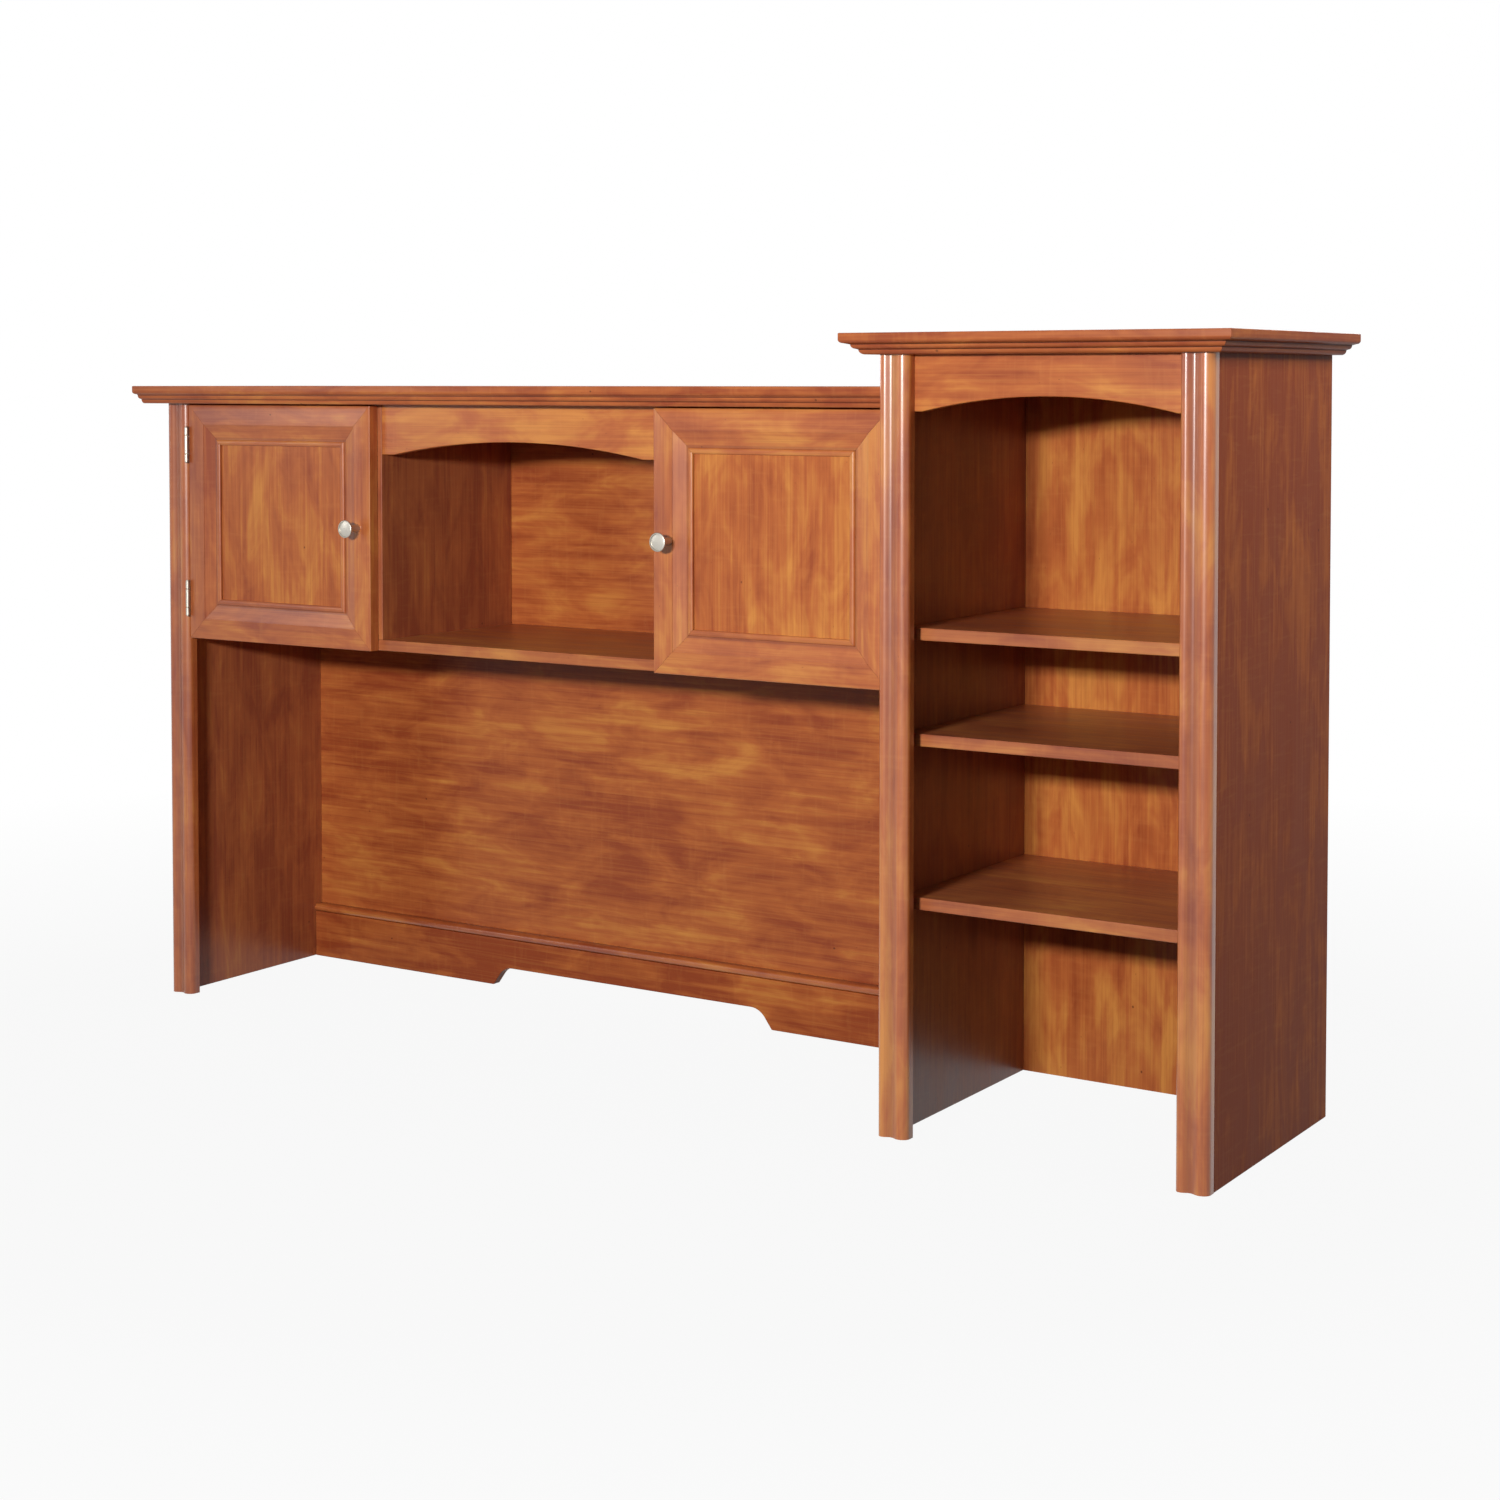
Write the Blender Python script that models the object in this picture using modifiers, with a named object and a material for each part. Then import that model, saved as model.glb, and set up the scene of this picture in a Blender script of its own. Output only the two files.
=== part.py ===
"""Desk hutch set: a low hutch with two panelled doors, beside a taller open bookcase tower.

Metres, +Z up, +X to the right, +Y to the back. The origin is at the middle of the footprint,
on the surface that the set stands on. The rear edges of hutch and tower lie in one plane.
"""
import math
from collections import namedtuple

import bmesh
import bpy
from mathutils import Vector

# Boards, and how they are let into each other
BOARD = 0.019            # sides, tops, shelves, partitions, valances, apron
BACK_PANEL = 0.006       # thickness of the back panels
FIT = 0.0003             # gap between pieces that touch
DADO = 0.006             # depth of the slots for shelves and cabinet floor
RABBET = 0.010           # depth of the rear rebates for the back panels
EASE = 0.0015            # rounding of the boards' edges
STOP = 0.012             # a stopped groove ends this far behind the front edge
UNIT_GAP = 0.0005        # hutch side to tower side

# Low hutch
HUTCH_WIDTH = 1.562
HUTCH_DEPTH = 0.395
HUTCH_HEIGHT = 1.130
DESK_SPACE = 0.665       # clear height under the cabinet floor
PARTITION_SHOW = 0.009   # width of partition edge that shows beside a closed door
FLOOR_GROOVE = 0.005     # depth of the partitions' grooves in the cabinet floor
HUTCH_VALANCE_DROP = 0.088
HUTCH_VALANCE_RISE = 0.025
HUTCH_VALANCE_EAR = 0.027
HUTCH_BACK_INSET = 0.0   # rear face of the back panel, in front of the rear edges
APRON_LIFT = 0.035       # height of the raised middle of the apron's lower edge
APRON_FOOT = 0.450       # length of each end that reaches down to the desk
APRON_SLOPE = math.radians(54)   # slope that rises from each foot
APRON_SWEEP = 0.036      # radius of the curve from that slope to the raised middle
APRON_LAP = 0.035        # how far the back panel reaches down behind the apron
BACK_BEAD_CENTRE = 0.096
BACK_BEAD_HEIGHT = 0.014
BACK_BEAD_PROUD = 0.002  # bead's crest in front of the apron

# Tower
TOWER_WIDTH = 0.533
TOWER_RISE = 0.080       # how far the tower stands above the hutch
TOWER_FORWARD = 0.070    # how far the tower stands in front of the hutch
TOWER_BACK_INSET = 0.010
SHELF_SETBACK = 0.044
LOWER_SHELF_TOP = 0.360
MIDDLE_SHELF_TOP = 0.608
UPPER_SHELF_TOP = 0.768
TOWER_VALANCE_DROP = 0.085
TOWER_VALANCE_RISE = 0.023
TOWER_VALANCE_EAR = 0.012   # flat length that shows beside the pilaster

# Crown moulding
CROWN_HEIGHT = 0.032
CROWN_REACH = 0.044
HUTCH_CROWN_FOOT = 0.028    # reach of the crown's lower end
TOWER_CROWN_FOOT = 0.014
CROWN_FASCIA = 0.010
CROWN_NOSE_REACH = 0.0058
CROWN_NOSE_DROP = 0.0053
CROWN_SOFFIT = 0.0019       # fall of the flat underside behind the nose
CROWN_UPPER_ROUND = 0.0064  # height of the upper quarter round
CROWN_STEP = 0.0012         # height of the step between the quarter rounds

# Pilasters: a small round along the left edge, a hollow, and a large round along the right edge
PILASTER_WIDTH = 0.050
PILASTER_DEPTH = 0.022
PILASTER_EDGE = 0.008       # width of the small round
PILASTER_EDGE_DROP = 0.007
PILASTER_HOLLOW = 0.0045    # depth of the hollow between the crests
PILASTER_ROUND = 0.014      # width of the large round
PILASTER_ROUND_DROP = 0.012

# Doors: mitred frames around flat panels
DOOR_WIDTH = 0.440
DOOR_THICK = 0.020
DOOR_INSET = 0.003       # door front behind the pilaster's crests
DOOR_TOP_GAP = 0.002
DOOR_STAND = 0.0015      # door back to the cabinet's front edges
FRAME_FLAT = 0.037
FRAME_SLOPE = 0.024
FRAME_GROOVE = 0.003     # flat between slope and bead
FRAME_BEAD = 0.010
FRAME_STEP = 0.0008      # small drop where the slope starts
FRAME_DROP = 0.006       # fall of the slope
FRAME_BEAD_RISE = 0.0035
PANEL = 0.006
PANEL_SINK = 0.009       # panel face behind the door's front
PANEL_TONGUE = 0.008     # panel edge inside the frame's groove

# Knobs
KNOB_EDGE = 0.030        # knob centre to the door's free edge
KNOB_REACH = 0.033
KNOB_RADIUS = 0.0155
KNOB_RIM = 0.004         # height of the rolled rim
KNOB_DOME = 0.0012       # rise of the face inside the rim
KNOB_BELL = 0.007        # height of the head's underside
KNOB_NECK = 0.0055
KNOB_FOOT = 0.007
SCREW_RADIUS = 0.002
SCREW_BITE = 0.012       # length of screw inside the knob
SCREW_HEAD_RADIUS = 0.0042
SCREW_HEAD = 0.0022

# Butt hinges
HINGE_LENGTH = 0.064
HINGE_END = 0.074        # hinge centre to the door's upper or lower end
KNUCKLE_RADIUS = 0.0033
KNUCKLE_MIDDLE = 0.034
KNUCKLE_PLAY = 0.0005
LEAF = 0.001
LEAF_SPACE = 0.0004
LEAF_REACH = 0.022       # from the pin's axis to the leaf's far edge
AXIS_FORWARD = 0.002     # pin's axis in front of the pilaster's crests
PIN_RADIUS = 0.0013
PIN_HEAD_RADIUS = 0.0026
PIN_HEAD = 0.0016

# Magnetic catches
CATCH_EDGE = 0.070       # catch centre to the door's free edge
CATCH_LENGTH = 0.046
CATCH_DEPTH = 0.015
CATCH_HEIGHT = 0.013
STRIKE = 0.001
STRIKE_LENGTH = 0.040

# Facets of round forms, and how far cutters pass through
EASE_STEPS = 2
ARC_STEPS = 8
ARCH_STEPS = 24
KNOB_STEPS = 28
ROD_SIDES = 16
ROD_ARC_STEPS = 4
OVERCUT = 0.010
WELD = 0.000001
FLAT_ANGLE = math.radians(0.2)   # faces that turn less than this are one face
SOFT_ANGLE = math.radians(35)

# Finishes: colour, roughness, metallic
CHERRY = ((0.262, 0.066, 0.024, 1.0), 0.32, 0.0)
CHERRY_PANEL = ((0.285, 0.077, 0.028, 1.0), 0.34, 0.0)
NICKEL = ((0.560, 0.530, 0.490, 1.0), 0.28, 1.0)
ZINC = ((0.480, 0.470, 0.440, 1.0), 0.40, 1.0)
BROWN_PLASTIC = ((0.070, 0.035, 0.020, 1.0), 0.50, 0.0)

# Places that follow from the sizes above
TOWER_DEPTH = HUTCH_DEPTH + TOWER_FORWARD
OVERALL_WIDTH = HUTCH_WIDTH + UNIT_GAP + TOWER_WIDTH + 2 * (CROWN_REACH + FIT)
OVERALL_DEPTH = TOWER_DEPTH + CROWN_REACH + FIT
BACK = OVERALL_DEPTH / 2
HUTCH_PANEL_FRONT = BACK - HUTCH_BACK_INSET - BACK_PANEL
TOWER_PANEL_FRONT = BACK - TOWER_BACK_INSET - BACK_PANEL
APRON_BACK = HUTCH_PANEL_FRONT - FIT
APRON_FRONT = APRON_BACK - BOARD
APRON_HEIGHT = BACK_BEAD_CENTRE - BACK_BEAD_HEIGHT / 2 - FIT
FRAME_WIDTH = FRAME_FLAT + FRAME_SLOPE + FRAME_GROOVE + FRAME_BEAD
HINGE_GAP = 2 * (LEAF + FIT) + LEAF_SPACE
HUTCH_LEFT = -OVERALL_WIDTH / 2 + CROWN_REACH + FIT
HUTCH_RIGHT = HUTCH_LEFT + HUTCH_WIDTH
TOWER_LEFT = HUTCH_RIGHT + UNIT_GAP
TOWER_RIGHT = TOWER_LEFT + TOWER_WIDTH
HUTCH_FRONT = BACK - HUTCH_DEPTH
TOWER_FRONT = BACK - TOWER_DEPTH
DOOR_FRONT = HUTCH_FRONT + DOOR_INSET
DOOR_BACK = DOOR_FRONT + DOOR_THICK
CABINET_FRONT = DOOR_BACK + DOOR_STAND
CABINET_FLOOR = DESK_SPACE + BOARD
DOOR_LOW = DESK_SPACE
DOOR_TOP = HUTCH_HEIGHT - CROWN_HEIGHT - DOOR_TOP_GAP

# Faces that the doors hang on: the left pilaster's edge, and the plain right side's inner face
LEFT_HANGING = HUTCH_LEFT + PILASTER_WIDTH
RIGHT_HANGING = HUTCH_RIGHT - BOARD

# One of the two carcasses: its outer faces, front, height, where a plain right side without a
# pilaster ends, and what is let into its sides
Unit = namedtuple(
    "Unit",
    "name left right front height crown_foot plain_right valance_front slots "
    "panel_front panel_low rabbet_low",
)
HUTCH = Unit(
    "hutch", HUTCH_LEFT, HUTCH_RIGHT, HUTCH_FRONT, HUTCH_HEIGHT, HUTCH_CROWN_FOOT,
    plain_right=DOOR_FRONT,
    valance_front=CABINET_FRONT,
    slots=((CABINET_FRONT, DESK_SPACE),),
    panel_front=HUTCH_PANEL_FRONT,
    panel_low=APRON_HEIGHT - APRON_LAP,
    rabbet_low=APRON_HEIGHT - APRON_LAP - FIT,
)
TOWER = Unit(
    "tower", TOWER_LEFT, TOWER_RIGHT, TOWER_FRONT, HUTCH_HEIGHT + TOWER_RISE, TOWER_CROWN_FOOT,
    plain_right=None,
    valance_front=TOWER_FRONT + PILASTER_DEPTH + FIT,
    slots=tuple(
        (TOWER_FRONT + SHELF_SETBACK, top - BOARD)
        for top in (LOWER_SHELF_TOP, MIDDLE_SHELF_TOP, UPPER_SHELF_TOP)
    ),
    panel_front=TOWER_PANEL_FRONT,
    panel_low=FIT,
    rabbet_low=-OVERCUT,
)

for leftover in list(bpy.data.objects):
    bpy.data.objects.remove(leftover)

PARTS = bpy.data.collections.new("desk_hutch_set")
CUTTERS = bpy.data.collections.new("desk_hutch_set_cutters")
for collection in (PARTS, CUTTERS):
    bpy.context.scene.collection.children.link(collection)

# A prism's outline lies across its axis: Y and Z for X, X and Z for Y, X and Y for Z
FACING = {
    "X": (math.pi / 2, 0.0, math.pi / 2),
    "Y": (math.pi / 2, 0.0, 0.0),
    "Z": (0.0, 0.0, 0.0),
}


def finish(piece, look):
    """Give a piece its own material."""
    colour, roughness, metallic = look
    material = bpy.data.materials.new(piece.name + "_finish")
    material.use_nodes = True
    shader = material.node_tree.nodes["Principled BSDF"]
    shader.inputs["Base Color"].default_value = colour
    shader.inputs["Roughness"].default_value = roughness
    shader.inputs["Metallic"].default_value = metallic
    piece.data.materials.append(material)


def box_mesh(name, size):
    """A box centred on its origin."""
    mesh = bpy.data.meshes.new(name)
    form = bmesh.new()
    bmesh.ops.create_cube(form, size=1.0)
    bmesh.ops.scale(form, vec=size, verts=form.verts)
    form.to_mesh(mesh)
    form.free()
    return mesh


def ordered(first, second):
    """The lowest and highest corner of the box between two opposite corners."""
    low = Vector(min(a, b) for a, b in zip(first, second))
    high = Vector(max(a, b) for a, b in zip(first, second))
    return low, high


def ease_edges(piece):
    """Round the sharp edges of a piece a little."""
    bevel = piece.modifiers.new("eased_edges", "BEVEL")
    bevel.width = EASE
    bevel.segments = EASE_STEPS
    bevel.limit_method = "ANGLE"
    bevel.angle_limit = SOFT_ANGLE


def board(name, first, second, look=CHERRY, eased=True):
    """A rectangular piece between two opposite corners."""
    low, high = ordered(first, second)
    piece = bpy.data.objects.new(name, box_mesh(name, high - low))
    piece.location = (low + high) / 2
    PARTS.objects.link(piece)
    if eased:
        ease_edges(piece)
    finish(piece, look)
    return piece


def hide_tool(tool):
    """Keep a cutter out of the model."""
    tool.hide_render = True
    tool.display_type = "WIRE"
    CUTTERS.objects.link(tool)
    return tool


def box_tool(first, second):
    """A box-shaped cutter between two opposite corners."""
    low, high = ordered(first, second)
    tool = bpy.data.objects.new("box_cutter", box_mesh("box_cutter", high - low))
    tool.location = (low + high) / 2
    return hide_tool(tool)


def rod_tool(start, end, radius):
    """A round rod from start to end, along Y or Z, to cut with or to join on."""
    start = Vector(start)
    end = Vector(end)
    mesh = bpy.data.meshes.new("rod_cutter")
    form = bmesh.new()
    bmesh.ops.create_cone(
        form, cap_ends=True, segments=ROD_SIDES,
        radius1=radius, radius2=radius, depth=(end - start).length,
    )
    form.to_mesh(mesh)
    form.free()
    tool = bpy.data.objects.new("rod_cutter", mesh)
    tool.location = (start + end) / 2
    tool.rotation_euler = (end - start).to_track_quat("Z", "Y").to_euler()
    return hide_tool(tool)


def combine(piece, operation, tool):
    """Cut a tool from a piece, or join it on."""
    boolean = piece.modifiers.new(operation.lower(), "BOOLEAN")
    boolean.operation = operation
    boolean.solver = "EXACT"
    boolean.object = tool


def prism(name, outline, axis, start, end, look=CHERRY):
    """A straight length of an outline, from start to end along an axis."""
    curve = bpy.data.curves.new(name, "CURVE")
    curve.dimensions = "2D"
    curve.fill_mode = "BOTH"
    curve.extrude = abs(end - start) / 2
    spline = curve.splines.new("POLY")
    spline.points.add(len(outline) - 1)
    for point, (across, up) in zip(spline.points, outline):
        point.co = (across, up, 0.0, 1.0)
    spline.use_cyclic_u = True
    rough = bpy.data.objects.new(name, curve)
    rough.rotation_euler = FACING[axis]
    rough.location["XYZ".index(axis)] = (start + end) / 2
    PARTS.objects.link(rough)

    graph = bpy.context.evaluated_depsgraph_get()
    mesh = bpy.data.meshes.new_from_object(rough.evaluated_get(graph))
    place = rough.matrix_world.copy()
    bpy.data.objects.remove(rough)
    form = bmesh.new()
    form.from_mesh(mesh)
    bmesh.ops.remove_doubles(form, verts=form.verts, dist=WELD)
    bmesh.ops.dissolve_limit(
        form, angle_limit=FLAT_ANGLE, verts=form.verts[:], edges=form.edges[:],
    )
    bmesh.ops.recalc_face_normals(form, faces=form.faces)
    form.to_mesh(mesh)
    form.free()
    mesh.shade_smooth()
    mesh.set_sharp_from_angle(angle=SOFT_ANGLE)
    piece = bpy.data.objects.new(name, mesh)
    piece.matrix_world = place
    PARTS.objects.link(piece)
    finish(piece, look)
    return piece


def mitre(piece, corner, outward):
    """Cut a piece's end off at a plane through a corner, half a fit short of it."""
    outward = Vector(outward).normalized()
    form = bmesh.new()
    form.from_mesh(piece.data)
    form.transform(piece.matrix_world)
    bmesh.ops.bisect_plane(
        form,
        geom=form.verts[:] + form.edges[:] + form.faces[:],
        plane_co=Vector(corner) - outward * FIT / 2,
        plane_no=outward,
        clear_outer=True,
    )
    rim = [edge for edge in form.edges if edge.is_boundary]
    bmesh.ops.holes_fill(form, edges=rim)
    bmesh.ops.recalc_face_normals(form, faces=form.faces)
    form.transform(piece.matrix_world.inverted())
    form.to_mesh(piece.data)
    form.free()


def turned(name, profile, place, facing, steps, look):
    """A turned piece: (radius, height) points from its top, down its outer side."""
    mesh = bpy.data.meshes.new(name)
    form = bmesh.new()
    points = [form.verts.new((radius, 0.0, height)) for radius, height in profile]
    for upper, lower in zip(points, points[1:]):
        form.edges.new((upper, lower))
    form.to_mesh(mesh)
    form.free()
    piece = bpy.data.objects.new(name, mesh)
    piece.location = place
    piece.rotation_euler = facing
    screw = piece.modifiers.new("turned", "SCREW")
    screw.steps = steps
    screw.render_steps = steps
    screw.use_merge_vertices = True
    screw.merge_threshold = WELD
    screw.use_smooth_shade = True
    PARTS.objects.link(piece)
    finish(piece, look)
    return piece


def round_over(start, turn, centre, half_width, rise, steps=ARC_STEPS):
    """Points along part of an ellipse, from angle start through angle turn."""
    angles = [start + turn * step / steps for step in range(steps + 1)]
    return [
        (centre[0] + half_width * math.cos(angle), centre[1] + rise * math.sin(angle))
        for angle in angles
    ]


def inner_faces(unit):
    """The inner face of each side of a unit, with the direction into the unit."""
    return (("left", unit.left + BOARD, 1.0), ("right", unit.right - BOARD, -1.0))


# Sides: boards slotted for shelves or cabinet floor, and rebated for the back panel
def sides(unit):
    for hand, face, inward in inner_faces(unit):
        front = unit.front + PILASTER_DEPTH + FIT
        if hand == "right" and unit.plain_right is not None:
            front = unit.plain_right
        side = board(
            f"{unit.name}_{hand}_side",
            (face - inward * BOARD, front, 0.0),
            (face, BACK, unit.height - BOARD - FIT),
        )
        clear = face + inward * OVERCUT
        for slot_front, slot_low in unit.slots:
            combine(side, "DIFFERENCE", box_tool(
                (face - inward * (DADO + FIT), slot_front - FIT, slot_low - FIT),
                (clear, unit.panel_front, slot_low + BOARD + FIT),
            ))
        combine(side, "DIFFERENCE", box_tool(
            (face - inward * RABBET, unit.panel_front - FIT, unit.rabbet_low),
            (clear, BACK + OVERCUT, unit.height),
        ))


# Pilasters: moulded stiles glued to the front edges of the sides; the hutch's right side,
# which stands against the tower, has none
def pilaster_face():
    """Across one pilaster from its left edge: place across, and depth behind the crests."""
    edge = round_over(
        math.pi, math.pi / 2, (PILASTER_EDGE, PILASTER_EDGE_DROP),
        PILASTER_EDGE, PILASTER_EDGE_DROP,
    )
    round_start = PILASTER_WIDTH - PILASTER_ROUND
    steps = 2 * ARC_STEPS
    hollow = [
        (PILASTER_EDGE + (round_start - PILASTER_EDGE) * step / steps,
         PILASTER_HOLLOW * (1 - math.cos(2 * math.pi * step / steps)) / 2)
        for step in range(1, steps)
    ]
    large_round = round_over(
        -math.pi / 2, math.pi / 2, (round_start, PILASTER_ROUND_DROP),
        PILASTER_ROUND, PILASTER_ROUND_DROP,
    )
    return edge + hollow + large_round


def pilasters(unit):
    edges = {"left": unit.left}
    if unit.plain_right is None:
        edges["right"] = unit.right - PILASTER_WIDTH
    for hand, edge in edges.items():
        outline = [(edge + across, unit.front + depth) for across, depth in pilaster_face()]
        outline.append((edge + PILASTER_WIDTH, unit.front + PILASTER_DEPTH))
        outline.append((edge, unit.front + PILASTER_DEPTH))
        prism(f"{unit.name}_{hand}_pilaster", outline, "Z", 0.0, unit.height - BOARD - FIT)


# Top board, and the thin rail under its front edge that backs the crown
def top(unit):
    right_stile = PILASTER_WIDTH if unit.plain_right is None else BOARD
    board(
        f"{unit.name}_top",
        (unit.left, unit.front, unit.height - BOARD),
        (unit.right, BACK, unit.height),
    )
    board(
        f"{unit.name}_top_rail",
        (unit.left + PILASTER_WIDTH + FIT, unit.front, unit.height - CROWN_HEIGHT),
        (unit.right - right_stile - FIT, unit.valance_front - FIT, unit.height - BOARD - FIT),
    )


# Crown: fascia with a round nose, and two quarter rounds stepped in below it
def crown_outline(foot):
    """Outline of a crown: reach in front of its back face, and height below its top."""
    swell = CROWN_REACH - foot
    upper_outer = foot + 0.55 * swell
    upper_inner = foot + 0.35 * swell
    lower_outer = foot + 0.25 * swell
    upper_start = CROWN_FASCIA + CROWN_NOSE_DROP + CROWN_SOFFIT
    upper_end = upper_start + CROWN_UPPER_ROUND
    lower_start = upper_end + CROWN_STEP
    quarter = math.pi / 2
    below = [(0.0, 0.0), (CROWN_REACH - EASE, 0.0), (CROWN_REACH, EASE)]
    below += round_over(
        0.0, quarter, (CROWN_REACH - CROWN_NOSE_REACH, CROWN_FASCIA),
        CROWN_NOSE_REACH, CROWN_NOSE_DROP,
    )
    below += round_over(
        0.0, quarter, (upper_inner, upper_start),
        upper_outer - upper_inner, CROWN_UPPER_ROUND,
    )
    below += round_over(
        0.0, quarter, (foot, lower_start), lower_outer - foot, CROWN_HEIGHT - lower_start,
    )
    below.append((0.0, CROWN_HEIGHT))
    return below


def crown_front(unit, mitred_right):
    face = unit.front - FIT
    outline = [(face - reach, unit.height - drop) for reach, drop in crown_outline(unit.crown_foot)]
    run_out = FIT + CROWN_REACH + OVERCUT
    end = unit.right + run_out if mitred_right else unit.right
    crown = prism(f"{unit.name}_crown_front", outline, "X", unit.left - run_out, end)
    mitre(crown, (unit.left - FIT, face, 0.0), (-1.0, 1.0, 0.0))
    if mitred_right:
        mitre(crown, (unit.right + FIT, face, 0.0), (1.0, 1.0, 0.0))


def crown_return(unit, hand):
    outward = -1.0 if hand == "left" else 1.0
    face = unit.left - FIT if hand == "left" else unit.right + FIT
    outline = [
        (face + outward * reach, unit.height - drop)
        for reach, drop in crown_outline(unit.crown_foot)
    ]
    start = unit.front - FIT - CROWN_REACH - OVERCUT
    crown = prism(f"{unit.name}_crown_{hand}", outline, "Y", start, BACK)
    mitre(crown, (face, unit.front - FIT, 0.0), (-outward, -1.0, 0.0))


# Valance: a board with a shallow arch in its lower edge, square ears at its ends
def valance(unit, left, right, ear, drop, rise):
    high = unit.height - BOARD - FIT
    low = unit.height - CROWN_HEIGHT - drop
    half_span = (right - left) / 2 - ear
    centre = (left + right) / 2
    radius = (half_span ** 2 + rise ** 2) / (2 * rise)
    half_angle = math.asin(half_span / radius)
    arch = []
    for step in range(ARCH_STEPS + 1):
        angle = half_angle * (2 * step / ARCH_STEPS - 1)
        arch.append((centre + radius * math.sin(angle),
                     low + rise - radius * (1 - math.cos(angle))))
    outline = [(left, high), (left, low)] + arch + [(right, low), (right, high)]
    front = unit.valance_front
    ease_edges(prism(f"{unit.name}_valance", outline, "Y", front, front + BOARD))


# Back panels, let into the rebates of the sides
def back_panel(unit):
    reach_in = RABBET - FIT
    board(
        f"{unit.name}_back_panel",
        (unit.left + BOARD - reach_in, unit.panel_front, unit.panel_low),
        (unit.right - BOARD + reach_in, unit.panel_front + BACK_PANEL,
         unit.height - BOARD - FIT),
        CHERRY_PANEL,
        eased=False,
    )


# Apron across the lower back of the hutch, in front of the back panel: its lower edge is raised
# in the middle, and a strip with a half-round front lies along its upper edge
def apron():
    left = HUTCH_LEFT + BOARD + FIT
    right = HUTCH_RIGHT - BOARD - FIT
    sweep_low = APRON_LIFT - APRON_SWEEP * (1 - math.cos(APRON_SLOPE))
    slope_end = APRON_FOOT + sweep_low / math.tan(APRON_SLOPE)
    sweep_end = slope_end + APRON_SWEEP * math.sin(APRON_SLOPE)
    curve = [(APRON_FOOT, 0.0)]
    curve += round_over(
        math.pi / 2 + APRON_SLOPE, -APRON_SLOPE, (sweep_end, APRON_LIFT - APRON_SWEEP),
        APRON_SWEEP, APRON_SWEEP,
    )
    outline = [(left, APRON_HEIGHT), (left, 0.0)]
    outline += [(left + along, rise) for along, rise in curve]
    outline += [(right - along, rise) for along, rise in reversed(curve)]
    outline += [(right, 0.0), (right, APRON_HEIGHT)]
    ease_edges(prism("hutch_apron", outline, "Y", APRON_FRONT, APRON_BACK))
    radius = BACK_BEAD_HEIGHT / 2
    nose = round_over(
        math.pi / 2, math.pi, (APRON_FRONT - BACK_BEAD_PROUD + radius, BACK_BEAD_CENTRE),
        radius, radius,
    )
    bead = [(APRON_BACK, BACK_BEAD_CENTRE + radius)] + nose
    bead.append((APRON_BACK, BACK_BEAD_CENTRE - radius))
    prism("hutch_back_bead", bead, "X", left, right)


# Cabinet: floor let into the sides, and partitions let into the floor
def partition_face(hanging, inward):
    """The face of a partition that looks to the middle of the hutch."""
    return hanging + inward * (HINGE_GAP + DOOR_WIDTH + PARTITION_SHOW)


def cabinet():
    reach_in = BOARD - DADO
    floor = board(
        "hutch_cabinet_floor",
        (HUTCH_LEFT + reach_in, CABINET_FRONT, DESK_SPACE),
        (HUTCH_RIGHT - reach_in, HUTCH_PANEL_FRONT - FIT, CABINET_FLOOR),
    )
    high = HUTCH_HEIGHT - BOARD - FIT
    back = HUTCH_PANEL_FRONT - FIT
    tongue = CABINET_FLOOR - FLOOR_GROOVE + FIT
    for hand, hanging, inward in (("left", LEFT_HANGING, 1.0), ("right", RIGHT_HANGING, -1.0)):
        face = partition_face(hanging, inward)
        other = face - inward * BOARD
        partition = board(
            f"hutch_{hand}_partition", (face, CABINET_FRONT, tongue), (other, back, high),
        )
        combine(partition, "DIFFERENCE", box_tool(
            (face + inward * OVERCUT, CABINET_FRONT - OVERCUT, tongue - OVERCUT),
            (other - inward * OVERCUT, CABINET_FRONT + STOP, CABINET_FLOOR + FIT),
        ))
        combine(floor, "DIFFERENCE", box_tool(
            (face + inward * FIT, CABINET_FRONT + STOP - FIT, CABINET_FLOOR - FLOOR_GROOVE),
            (other - inward * FIT, back + OVERCUT, CABINET_FLOOR + OVERCUT),
        ))


# Shelves of the tower, let into the sides
def shelves():
    reach_in = BOARD - DADO
    tops = (("lower", LOWER_SHELF_TOP), ("middle", MIDDLE_SHELF_TOP), ("upper", UPPER_SHELF_TOP))
    for name, shelf_top in tops:
        board(
            f"tower_{name}_shelf",
            (TOWER_LEFT + reach_in, TOWER_FRONT + SHELF_SETBACK, shelf_top - BOARD),
            (TOWER_RIGHT - reach_in, TOWER_PANEL_FRONT - FIT, shelf_top),
        )


# Doors: two stiles and two rails, mitred, around a panel that floats in their grooves
def frame_outline():
    """Across a frame member from its outer edge: place across, and depth behind its front."""
    slope_end = FRAME_STEP + FRAME_DROP
    bead_centre = FRAME_WIDTH - FRAME_BEAD / 2
    bead = round_over(
        math.pi, math.pi, (bead_centre, slope_end), FRAME_BEAD / 2, FRAME_BEAD_RISE,
    )
    groove_floor = FRAME_WIDTH - PANEL_TONGUE - FIT
    groove_front = PANEL_SINK - FIT
    groove_back = PANEL_SINK + PANEL + FIT
    section = [
        (0.0, DOOR_THICK), (0.0, EASE), (EASE, 0.0), (FRAME_FLAT, 0.0), (FRAME_FLAT, FRAME_STEP),
    ]
    section.append((FRAME_FLAT + FRAME_SLOPE, slope_end))
    section += bead
    section += [
        (FRAME_WIDTH, groove_front), (groove_floor, groove_front),
        (groove_floor, groove_back), (FRAME_WIDTH, groove_back), (FRAME_WIDTH, DOOR_THICK),
    ]
    return section


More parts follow.
